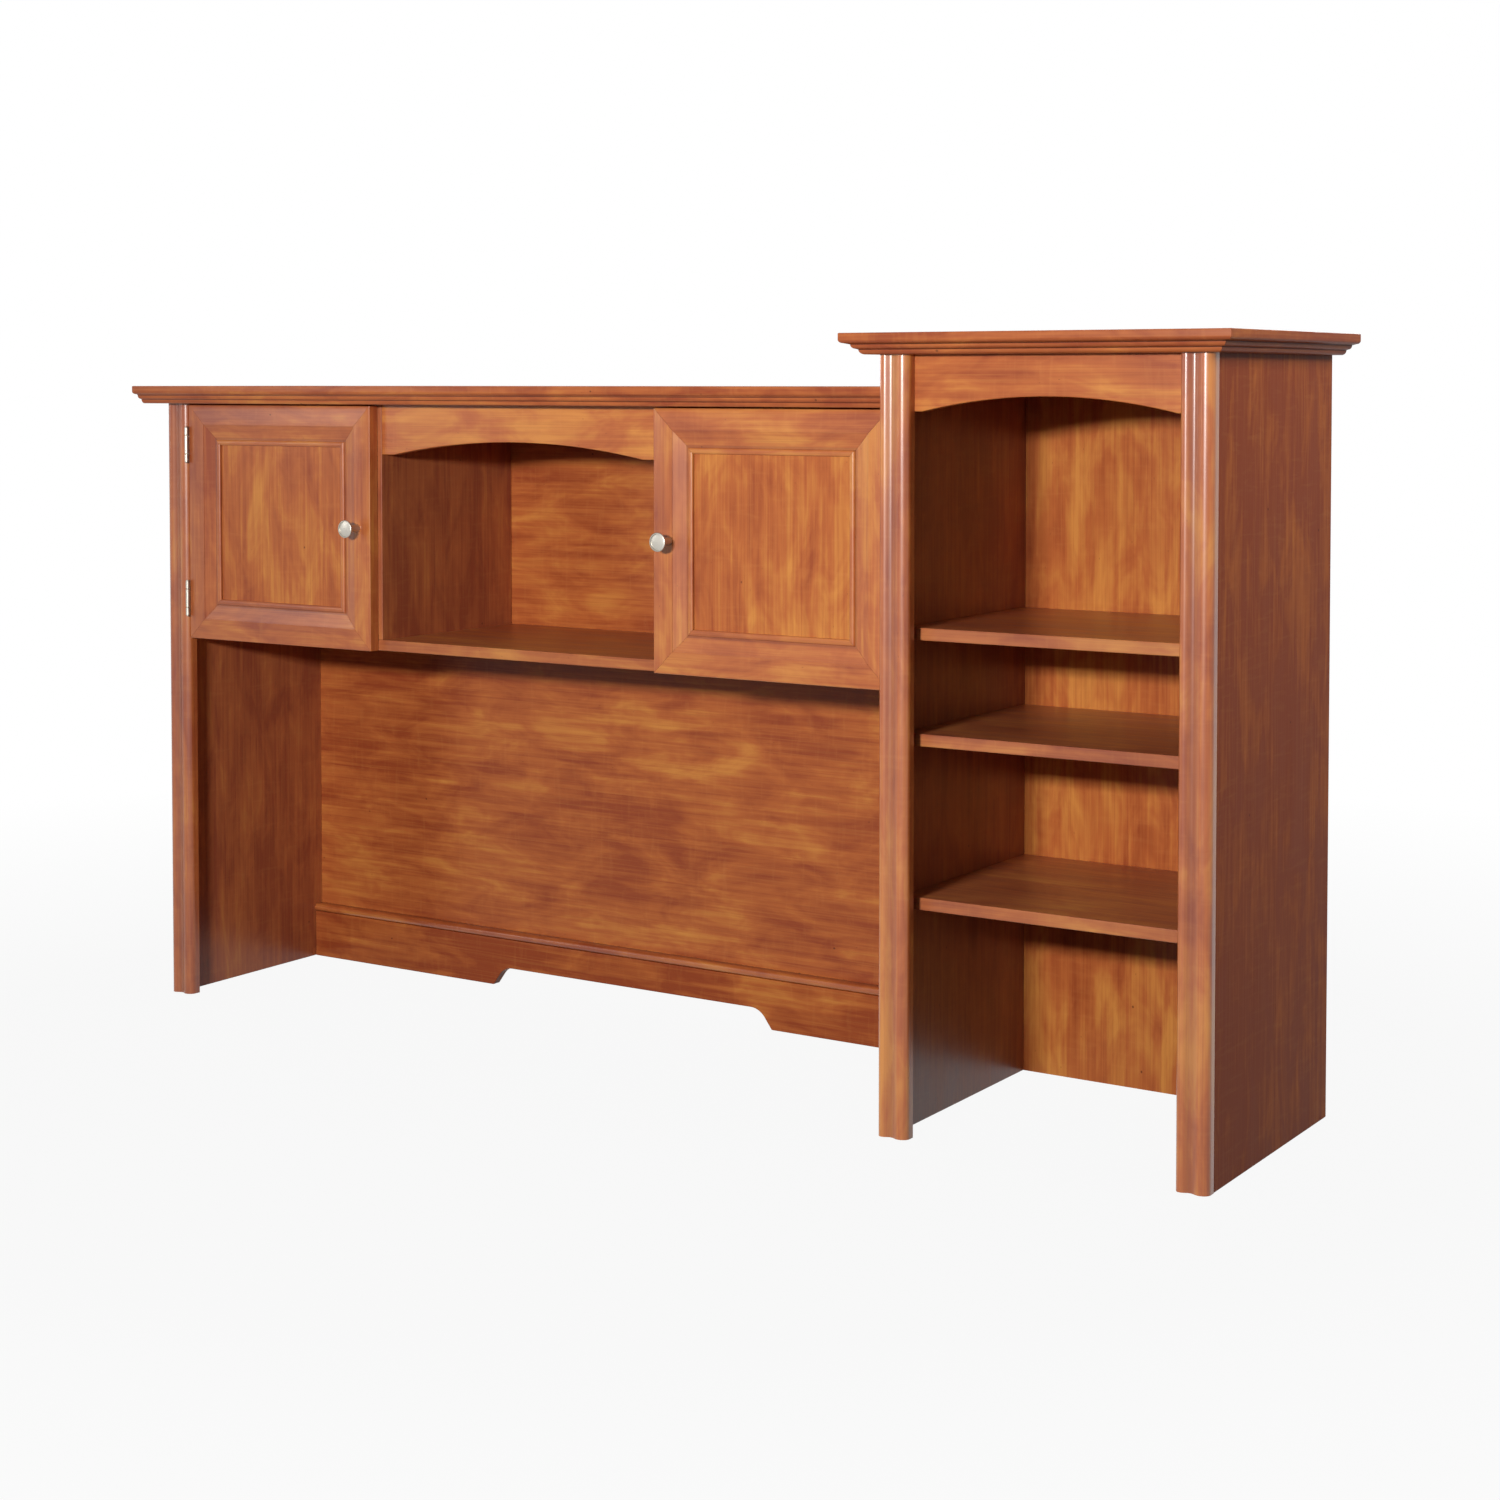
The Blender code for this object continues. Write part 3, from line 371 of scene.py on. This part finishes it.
# Door frames: stiles and rails of solid cherry, moulded along their inner edges with a slope and a
# bead, and joined with glued mitres. Each frame is grooved round a flat veneered panel.
def frame_outline(width, thick):
    """Across a frame member: place from its outer edge, depth behind its front, and darkening."""
    flat, slope, bead, step, drop, rise = 0.037, 0.024, 0.010, 0.0008, 0.006, 0.0035
    ease, quirk, sink, panel, tongue, fit = 0.0015, 0.0006, 0.009, 0.006, 0.008, 0.0003
    # Darkening at the step, the slope's foot, the quirk and the panel's lip: glaze in the joints
    # and painted shade in the recesses
    step_glaze_and_shade, foot_glaze_and_shade, quirk_glaze_and_shade, lip_glaze_and_shade = 0.12, 0.30, 0.55, 0.7
    slope_end = step + drop
    groove_floor = width - tongue - fit
    rows = [(0.0, thick, 0.0)]
    rows += [(*p, 0.0) for p in arc(math.pi, math.pi / 2, (ease, ease), ease, ease, 4)]
    rows += [(flat, 0.0, 0.0), (flat, step, step_glaze_and_shade)]
    # The slope is clean between its two darkened edges
    rows += [(flat + share * slope, step + share * drop, 0.0) for share in (0.10, 0.94)]
    rows += [(flat + slope, slope_end, foot_glaze_and_shade), (width - bead - quirk, slope_end, foot_glaze_and_shade)]
    rows.append((width - bead, slope_end, quirk_glaze_and_shade))
    crest = arc(math.pi, math.pi, (width - bead / 2, slope_end), bead / 2, rise, 18)
    rows += [(*p, 0.0) for p in crest[1:-1]]
    rows.append((width, slope_end, foot_glaze_and_shade))
    rows += [
        (width, sink - fit, lip_glaze_and_shade), (groove_floor, sink - fit, 0.0),
        (groove_floor, sink + panel + fit, 0.0), (width, sink + panel + fit, 0.0),
        (width, thick, 0.0),
    ]
    return rows


for hand, into, tone in (("left", 1.0, -0.02), ("right", -1.0, 0.03)):
    body = f"{hand}_door"
    stile_low, stile_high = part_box(f"{hand}_door_hinge_stile")
    knob_low, knob_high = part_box(f"{hand}_door_knob_stile")
    door_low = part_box(f"{hand}_door_bottom_rail")[0].z
    door_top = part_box(f"{hand}_door_top_rail")[1].z
    hinge_edge = stile_low.x if into > 0 else stile_high.x
    free_edge = knob_high.x if into > 0 else knob_low.x
    rows = frame_outline(stile_high.x - stile_low.x, stile_high.y - stile_low.y)
    glaze_and_shade = [amount for _, _, amount in rows]
    front = stile_low.y
    frame_deeper = 0.02       # the frame is stained a little deeper than its panel

    for part, edge, inward in (("hinge_stile", hinge_edge, into), ("knob_stile", free_edge, -into)):
        outline = [(edge + inward * across, front + depth) for across, depth, _ in rows]
        mitres = []
        for end, upward in ((door_top, 1.0), (door_low, -1.0)):
            outward = Vector((inward, 0.0, upward)) * DIAGONAL
            mitres.append((Vector((edge, 0.0, end)) - outward * MITRE_GAP, outward))
        node = f"{hand}_door_{part}"
        stile = run_moulding(f"{node}_moulding", outline, glaze_and_shade, "Z", door_low, door_top, mitres)
        finish = stained_cherry(node, "Z", tone - frame_deeper, gloss=0.7)
        fix(stile, body, finish, "cherry_wood", node)
    for part, edge, upward in (("bottom_rail", door_low, 1.0), ("top_rail", door_top, -1.0)):
        outline = [(front + depth, edge + upward * across) for across, depth, _ in rows]
        mitres = []
        for end, sideways in ((hinge_edge, -into), (free_edge, into)):
            outward = Vector((sideways, 0.0, upward)) * DIAGONAL
            mitres.append((Vector((end, 0.0, edge)) - outward * MITRE_GAP, outward))
        node = f"{hand}_door_{part}"
        ends = sorted((hinge_edge, free_edge))
        rail = run_moulding(f"{node}_moulding", outline, glaze_and_shade, "X", *ends, mitres)
        finish = stained_cherry(node, "X", tone - frame_deeper, gloss=0.7)
        fix(rail, body, finish, "cherry_wood", node)
    lacquer(f"{hand}_door_panel", "Z", tone=tone)


# Knobs: turned and plated in satin nickel, with a rolled rim round a low domed face, a bell below
# it and a stem that flares to its foot. A screw from behind the knob stile holds each one.
def plated_metal(name, dark, light):
    """Plated metal, brushed and rubbed down: soft reflections between two greys."""
    material = bpy.data.materials.new(name)
    material.use_nodes = True
    shader = material.node_tree.nodes["Principled BSDF"]
    place = add_node(material, "ShaderNodeTexCoord", {}, {})
    # Rubbing marks are finer than a pixel, so they are drawn 0.8 mm across
    rubbed = add_node(material, "ShaderNodeTexNoise", {}, {
        "Vector": place.outputs["Object"], "Scale": 1 / 0.0008, "Detail": 2.0,
    })
    tint = add_node(material, "ShaderNodeMix", {"data_type": "RGBA"}, {
        0: rubbed.outputs[0], 6: linear(dark), 7: linear(light),
    })
    rough = add_node(material, "ShaderNodeMapRange", {}, {
        "Value": rubbed.outputs[0], "From Min": 0.3, "From Max": 0.7,
        "To Min": 0.30, "To Max": 0.42,
    })
    relief = add_node(material, "ShaderNodeBump", {}, {
        "Height": rubbed.outputs[0], "Strength": 0.12, "Distance": 0.0001,
    })
    links = material.node_tree.links
    links.new(tint.outputs[2], shader.inputs["Base Color"])
    links.new(rough.outputs["Result"], shader.inputs["Roughness"])
    links.new(relief.outputs["Normal"], shader.inputs["Normal"])
    shader.inputs["Metallic"].default_value = 1.0
    return material


satin_nickel = plated_metal("satin_nickel_plate", "a8a398", "c9c4ba")
bright_zinc = plated_metal("bright_zinc_plate", "8b8f93", "b4b7ba")
UP = (0.0, 0.0, 1.0)


def turn_piece(name, profile, centre, axis, steps, ring=False):
    """Turn (radius, height) points about an axis, from the top down; a ring's outline is closed."""
    bpy.ops.mesh.primitive_circle_add(vertices=len(profile), radius=0.01, fill_type="NOTHING")
    piece = bpy.context.object
    piece.name = name
    axis = Vector(axis)
    across = Vector((axis.y, axis.z, axis.x))
    for corner, (radius, height) in zip(piece.data.vertices, profile):
        corner.co = centre + across * radius + axis * height
    ends = {0, len(profile) - 1}
    for corner in piece.data.vertices:
        corner.select = corner.index in ends
    for edge in piece.data.edges:
        edge.select = set(edge.vertices) == ends
    bpy.ops.object.mode_set(mode="EDIT")
    if not ring:
        bpy.ops.mesh.delete(type="EDGE_FACE")
    bpy.ops.mesh.select_all(action="SELECT")
    bpy.ops.mesh.spin(steps=steps, angle=2 * math.pi, center=centre, axis=axis)
    bpy.ops.mesh.select_all(action="SELECT")
    bpy.ops.mesh.remove_doubles(threshold=0.000002)
    bpy.ops.mesh.normals_make_consistent(inside=False)
    bpy.ops.object.mode_set(mode="OBJECT")
    bpy.ops.object.shade_smooth_by_angle(angle=ARRIS)
    piece.select_set(False)
    return piece


def cut_cross(piece, centre, axis, length, width, depth):
    """Sink a cross recess into a screw head; the axis points out of the head."""
    facing = Vector(axis).to_track_quat("Z", "Y")
    for turn in (0.0, math.pi / 2):
        bpy.ops.mesh.primitive_cube_add(size=1.0)
        blade = bpy.context.object
        blade.scale = (length, width, 2 * depth)
        blade.rotation_euler = (facing @ Quaternion(UP, turn)).to_euler()
        blade.location = centre
        recess = piece.modifiers.new("recess", "BOOLEAN")
        recess.solver = "EXACT"
        recess.object = blade
        bpy.context.view_layer.objects.active = piece
        bpy.ops.object.modifier_apply(modifier="recess")
        bpy.data.objects.remove(blade)
    bpy.ops.object.select_all(action="DESELECT")


def knob_profile(reach, radius):
    """From the middle of the face over the rim and down the stem, then up the screw's bore."""
    rim, dome, bell, neck, foot = 0.004, 0.0012, 0.007, 0.0055, 0.007
    bore, bite = 0.0023, 0.0123
    face_steps, bell_steps, stem_steps = 16, 10, 8
    rim_centre = reach - rim / 2
    rim_inner = radius - rim / 2
    rows = [
        (rim_inner * step / face_steps,
         rim_centre + dome * math.cos(math.pi / 2 * step / face_steps))
        for step in range(face_steps)
    ]
    rows += arc(math.pi / 2, -math.pi, (rim_inner, rim_centre), rim / 2, rim / 2, 14)
    bell_low = rim_centre - rim / 2 - bell
    for step in range(1, bell_steps + 1):
        turn = math.pi / 2 * step / bell_steps
        rows.append((neck + (rim_inner - neck) * (1 - math.sin(turn)),
                     bell_low + bell * math.cos(turn)))
    for step in range(1, stem_steps + 1):
        share = step / stem_steps
        rows.append((neck + (foot - neck) * share ** 2, bell_low * (1 - share)))
    return rows + [(bore, 0.0), (bore, bite), (0.0, bite)]


for hand in ("left", "right"):
    low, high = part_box(f"{hand}_knob")
    seat = Vector(((low.x + high.x) / 2, high.y, (low.z + high.z) / 2))
    knob = turn_piece(f"{hand}_knob_turning", knob_profile(high.y - low.y, (high.z - low.z) / 2),
                      seat, (0.0, -1.0, 0.0), 64)
    fix(knob, f"{hand}_door", satin_nickel, "nickel", f"{hand}_knob")

    low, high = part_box(f"{hand}_knob_screw")
    head_radius, shank, head = (high.x - low.x) / 2, 0.002, 0.0022
    length = high.y - low.y
    # A nearly flat crown, rounded over to the head's edge
    half, crown_fall, edge_drop, edge_rise = head_radius / 2, 0.0001, 0.0014, 0.0013
    rows = [(0.0, length), (0.6 * head_radius, length - crown_fall)]
    rows += arc(math.pi / 3, -math.pi / 3, (half, length - edge_drop), half, edge_rise, 6)
    rows += [(head_radius, length - head), (shank, length - head), (shank, 0.0), (0.0, 0.0)]
    tip = Vector((seat.x, low.y, seat.z))
    screw = turn_piece(f"{hand}_knob_screw_turning", rows, tip, (0.0, 1.0, 0.0), 32)
    cut_cross(screw, Vector((seat.x, high.y, seat.z)), (0.0, 1.0, 0.0),
              length=0.0048, width=0.0010, depth=0.0012)
    fix(screw, f"{hand}_door", bright_zinc, "zinc_plated_steel", f"{hand}_knob_screw")


# Hinges: butt hinges stamped from plated steel strip, the knuckles rolled round a headed pin. One
# leaf is screwed to the carcass and the other to the edge of the door, with two screws in each.
screw_head = turn_piece(
    "countersunk_screw",
    [(0.0, 0.0), (0.0026, 0.0), (0.0028, -0.0002), (0.0012, -0.0018), (0.0, -0.0018)],
    Vector(), UP, 24,
)
cut_cross(screw_head, Vector(), UP, length=0.0034, width=0.0007, depth=0.0007)


def drive_screw(name, place, axis, body, finish, slot):
    """Set a copy of the countersunk screw flush at a place, its head facing along an axis."""
    screw = screw_head.copy()
    screw.data = screw_head.data.copy()
    screw.name = name
    bpy.context.scene.collection.objects.link(screw)
    turn = Vector(axis).to_track_quat("Z", "Y").to_matrix().to_4x4()
    screw.data.transform(Matrix.Translation(place) @ turn)
    fix(screw, body, finish, slot)


def hinge_leaf(name, axis, low, high, far, toward, rolled_ends):
    """A leaf on one side of a hinge's axis, with its knuckles at both ends or in the middle."""
    end, play, notch, wrap, corner = 0.015, 0.0005, 0.0038, 0.0020, 0.003
    thick, half_gap = 0.001, 0.0002
    joint = end - play if rolled_ends else end + play
    outer, inner = (wrap, notch) if rolled_ends else (notch, wrap)
    outline = [(axis.y + outer, low)]
    outline += arc(-math.pi / 2, math.pi / 2, (far - corner, low + corner), corner, corner, 6)
    outline += arc(0.0, math.pi / 2, (far - corner, high - corner), corner, corner, 6)
    outline += [
        (axis.y + outer, high), (axis.y + outer, high - joint), (axis.y + inner, high - joint),
        (axis.y + inner, low + joint), (axis.y + outer, low + joint),
    ]
    near = axis.x + toward * half_gap
    far_face = near + toward * thick
    plate = run_moulding(f"{name}_plate", outline, [0.0] * len(outline), "X", near, far_face)
    spans = [(low + joint, high - joint)]
    if rolled_ends:
        spans = [(low, low + joint), (high - joint, high)]
    bore, barrel, chamfer = 0.0016, 0.0033, 0.0007
    joined = [plate]
    for start, stop in spans:
        section = [
            (bore, stop), (barrel - chamfer, stop), (barrel, stop - chamfer),
            (barrel, start + chamfer), (barrel - chamfer, start), (bore, start),
        ]
        joined.append(turn_piece(f"{name}_knuckle", section, Vector((axis.x, axis.y, 0.0)),
                                 UP, 32, ring=True))
    for part in joined:
        part.select_set(True)
    bpy.context.view_layer.objects.active = plate
    bpy.ops.object.join()
    plate.select_set(False)
    return plate


for hand, into in (("left", 1.0), ("right", -1.0)):
    for height in ("upper", "lower"):
        name = f"{hand}_{height}_hinge"
        low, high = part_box(f"{name}_pin")
        axis = (low + high) / 2
        head_radius, rise, shank = (high.x - low.x) / 2, 0.0016, 0.0013
        top = arc(math.pi / 2, -math.pi / 2, (0.0, high.z - rise), head_radius, rise, 8)
        bottom = arc(0.0, -math.pi / 2, (0.0, low.z + rise), head_radius, rise, 8)
        rows = [(0.0, high.z)] + top[1:] + [(shank, high.z - rise), (shank, low.z + rise)]
        rows += bottom[:-1] + [(0.0, low.z)]
        pin = turn_piece(f"{name}_pin_turning", rows, Vector((axis.x, axis.y, 0.0)), UP, 24)
        fix(pin, "carcass", satin_nickel, "nickel", f"{name}_pin")
        low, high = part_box(f"{name}_frame_leaf")
        screw_end, screw_reach, screw_face = 0.012, 0.013, 0.00015
        leaves = (("frame_leaf", "carcass", -into), ("door_leaf", f"{hand}_door", into))
        for part, body, toward in leaves:
            rolled_ends = part == "frame_leaf"
            leaf = hinge_leaf(f"{name}_{part}", axis, low.z, high.z, high.y, toward, rolled_ends)
            fix(leaf, body, satin_nickel, "nickel", f"{name}_{part}")
            for end, z in (("lower", low.z + screw_end), ("upper", high.z - screw_end)):
                place = Vector((axis.x + toward * screw_face, axis.y + screw_reach, z))
                drive_screw(f"{name}_{part}_{end}_screw", place, (-toward, 0.0, 0.0), body,
                            satin_nickel, "nickel")


# Catches: moulded brown plastic cases with two steel pole strips and a magnet between, screwed to
# the cabinet floor through their ears. A zinc-plated strike plate on each door meets the strips.
# Moulded brown plastic is dull and even, with a faint grit that keeps it from shining.
moulded_plastic = bpy.data.materials.new("moulded_brown_plastic")
moulded_plastic.use_nodes = True
shader = moulded_plastic.node_tree.nodes["Principled BSDF"]
place = add_node(moulded_plastic, "ShaderNodeTexCoord", {}, {})
# Spark-eroded mould texture is finer than a pixel, so it is drawn 0.6 mm across
grit = add_node(moulded_plastic, "ShaderNodeTexNoise", {}, {
    "Vector": place.outputs["Object"], "Scale": 1 / 0.0006, "Detail": 2.0,
})
tint = add_node(moulded_plastic, "ShaderNodeMix", {"data_type": "RGBA"}, {
    0: grit.outputs[0], 6: linear("3f2a20"), 7: linear("513828"),
})
relief = add_node(moulded_plastic, "ShaderNodeBump", {}, {
    "Height": grit.outputs[0], "Strength": 0.2, "Distance": 0.0001,
})
moulded_plastic.node_tree.links.new(tint.outputs[2], shader.inputs["Base Color"])
moulded_plastic.node_tree.links.new(relief.outputs["Normal"], shader.inputs["Normal"])
shader.inputs["Roughness"].default_value = 0.5

for hand in ("left", "right"):
    nodes[f"{hand}_strike_plate"].data.materials[0] = bright_zinc
    low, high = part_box(f"{hand}_catch")
    ear, lip, round_edge, case_set_back = 0.009, 0.003, 0.0015, 0.0012
    pole_half, pole_length, pole_margin = 0.0007, 0.003, 0.002
    lower_pole, upper_pole, screw_proud = 0.0042, 0.0090, 0.0001
    shoulder = low.z + lip
    case_left, case_right = low.x + ear, high.x - ear
    outline = [(low.x, low.z), (high.x, low.z), (high.x, shoulder), (case_right, shoulder)]
    outline += arc(0.0, math.pi / 2, (case_right - round_edge, high.z - round_edge),
                   round_edge, round_edge, 5)
    outline += arc(math.pi / 2, math.pi / 2, (case_left + round_edge, high.z - round_edge),
                   round_edge, round_edge, 5)
    outline += [(case_left, shoulder), (low.x, shoulder)]
    case = run_moulding(f"{hand}_catch_case", outline, [0.0] * len(outline), "Y",
                        low.y + case_set_back, high.y)
    fix(case, "carcass", moulded_plastic, "catch_plastic", f"{hand}_catch")
    for level, z in (("lower", low.z + lower_pole), ("upper", low.z + upper_pole)):
        tip = [(low.y + pole_length, z - pole_half)]
        tip += arc(-math.pi / 2, -math.pi, (low.y + pole_half, z), pole_half, pole_half, 8)
        tip.append((low.y + pole_length, z + pole_half))
        pole = run_moulding(f"{hand}_catch_{level}_pole", tip, [0.0] * len(tip), "X",
                            case_left + pole_margin, case_right - pole_margin)
        fix(pole, "carcass", bright_zinc, "zinc_plated_steel")
    for end, x in (("left", low.x + ear / 2), ("right", high.x - ear / 2)):
        place = Vector((x, (low.y + high.y) / 2, shoulder + screw_proud))
        drive_screw(f"{hand}_catch_{end}_screw", place, UP, "carcass", bright_zinc,
                    "zinc_plated_steel")
bpy.data.objects.remove(screw_head)


# Studio: a pale floor, a key lamp in front of the tower, and soft fill from all round and above.
def area_lamp(name, place, aim, width, height, watts):
    """A soft rectangular lamp at a place, aimed at a point."""
    lamp = bpy.data.lights.new(name, "AREA")
    lamp.shape = "RECTANGLE"
    lamp.size = width
    lamp.size_y = height
    lamp.energy = watts
    holder = bpy.data.objects.new(name, lamp)
    holder.location = place
    holder.rotation_euler = (Vector(aim) - Vector(place)).to_track_quat("-Z", "Y").to_euler()
    bpy.context.scene.collection.objects.link(holder)


area_lamp("key_lamp", (0.70, -3.55, 1.46), (0.0, 0.0, 0.7), 0.55, 0.18, 121.0)
area_lamp("front_fill", (1.90, -3.55, 1.50), (0.5, 0.0, 0.7), 0.6, 0.6, 4.0)
area_lamp("left_fill", (-2.95, -2.75, 1.45), (-0.4, 0.0, 0.9), 0.6, 0.9, 8.0)
area_lamp("right_fill", (2.50, 0.10, 2.10), (1.0, 0.0, 0.8), 0.8, 0.8, 23.5)
area_lamp("rear_fill", (-0.20, 3.40, 1.80), (0.0, 0.0, 0.6), 1.8, 1.2, 60.0)
area_lamp("top_fill", (-0.10, 0.25, 2.95), (-0.10, 0.24, 1.1), 1.8, 1.0, 12.0)
area_lamp("side_fill", (-3.90, 0.90, 1.70), (-1.0, 0.0, 0.7), 1.2, 1.0, 46.0)


def plainly_seen(owner):
    """1 for camera, glossy and transmission rays, which see the background as plain white."""
    path = add_node(owner, "ShaderNodeLightPath", {}, {})
    seen = path.outputs["Is Camera Ray"]
    for ray in ("Is Glossy Ray", "Is Transmission Ray"):
        either = add_node(owner, "ShaderNodeMath", {"operation": "MAXIMUM"}, {
            0: seen, 1: path.outputs[ray],
        })
        seen = either.outputs[0]
    return seen


# Pale paper is seen as white, a little less so near the object, where its shadow shows
bpy.ops.mesh.primitive_plane_add(size=60.0)
floor = bpy.context.object
floor.name = "studio_floor"
paper = bpy.data.materials.new("pale_paper_floor")
paper.use_nodes = True
tree = paper.node_tree
tree.nodes.remove(tree.nodes["Principled BSDF"])
place = add_node(paper, "ShaderNodeTexCoord", {}, {})
distance = add_node(paper, "ShaderNodeVectorMath", {"operation": "LENGTH"}, {
    0: place.outputs["Object"],
})
fade = add_node(paper, "ShaderNodeMapRange", {}, {
    "Value": distance.outputs["Value"], "From Min": 1.3, "From Max": 3.2,
    "To Min": 0.93, "To Max": 1.0,
})
share = add_node(paper, "ShaderNodeMath", {"operation": "MULTIPLY"}, {
    0: plainly_seen(paper), 1: fade.outputs["Result"],
})
matt = add_node(paper, "ShaderNodeBsdfDiffuse", {}, {"Color": linear("646462")})
white = add_node(paper, "ShaderNodeEmission", {}, {"Color": (1.0, 1.0, 1.0, 1.0), "Strength": 1.0})
blend = add_node(paper, "ShaderNodeMixShader", {}, {
    0: share.outputs[0], 1: matt.outputs[0], 2: white.outputs[0],
})
tree.links.new(blend.outputs[0], tree.nodes["Material Output"].inputs["Surface"])
floor.data.materials.append(paper)

world = bpy.data.worlds.new("white_studio")
bpy.context.scene.world = world
world.use_nodes = True
sky = world.node_tree.nodes["Background"]
seen = plainly_seen(world)
level = add_node(world, "ShaderNodeMapRange", {}, {
    "Value": seen, "To Min": 0.06, "To Max": 1.0,
})
tint = add_node(world, "ShaderNodeMix", {"data_type": "RGBA"}, {
    0: seen, 6: linear("e2edff"), 7: (1.0, 1.0, 1.0, 1.0),
})
world.node_tree.links.new(tint.outputs[2], sky.inputs["Color"])
world.node_tree.links.new(level.outputs["Result"], sky.inputs["Strength"])
bpy.context.scene.view_settings.view_transform = "Standard"

# Camera: level with the hutch's top and to the right of the set, with a long lens whose frame is
# shifted down to take in the feet.
CAMERA_DIP, CAMERA_TURN = math.radians(2.194), math.radians(33.062)
lens = bpy.data.cameras.new("photo_camera")
lens.sensor_width = 36.0
lens.lens = 60.84
lens.shift_y = -0.18
camera = bpy.data.objects.new("photo_camera", lens)
camera.location = (2.4195, -3.4873, 1.1357)
camera.rotation_euler = (math.pi / 2 - CAMERA_DIP, 0.0, CAMERA_TURN)
bpy.context.scene.collection.objects.link(camera)
bpy.context.scene.camera = camera
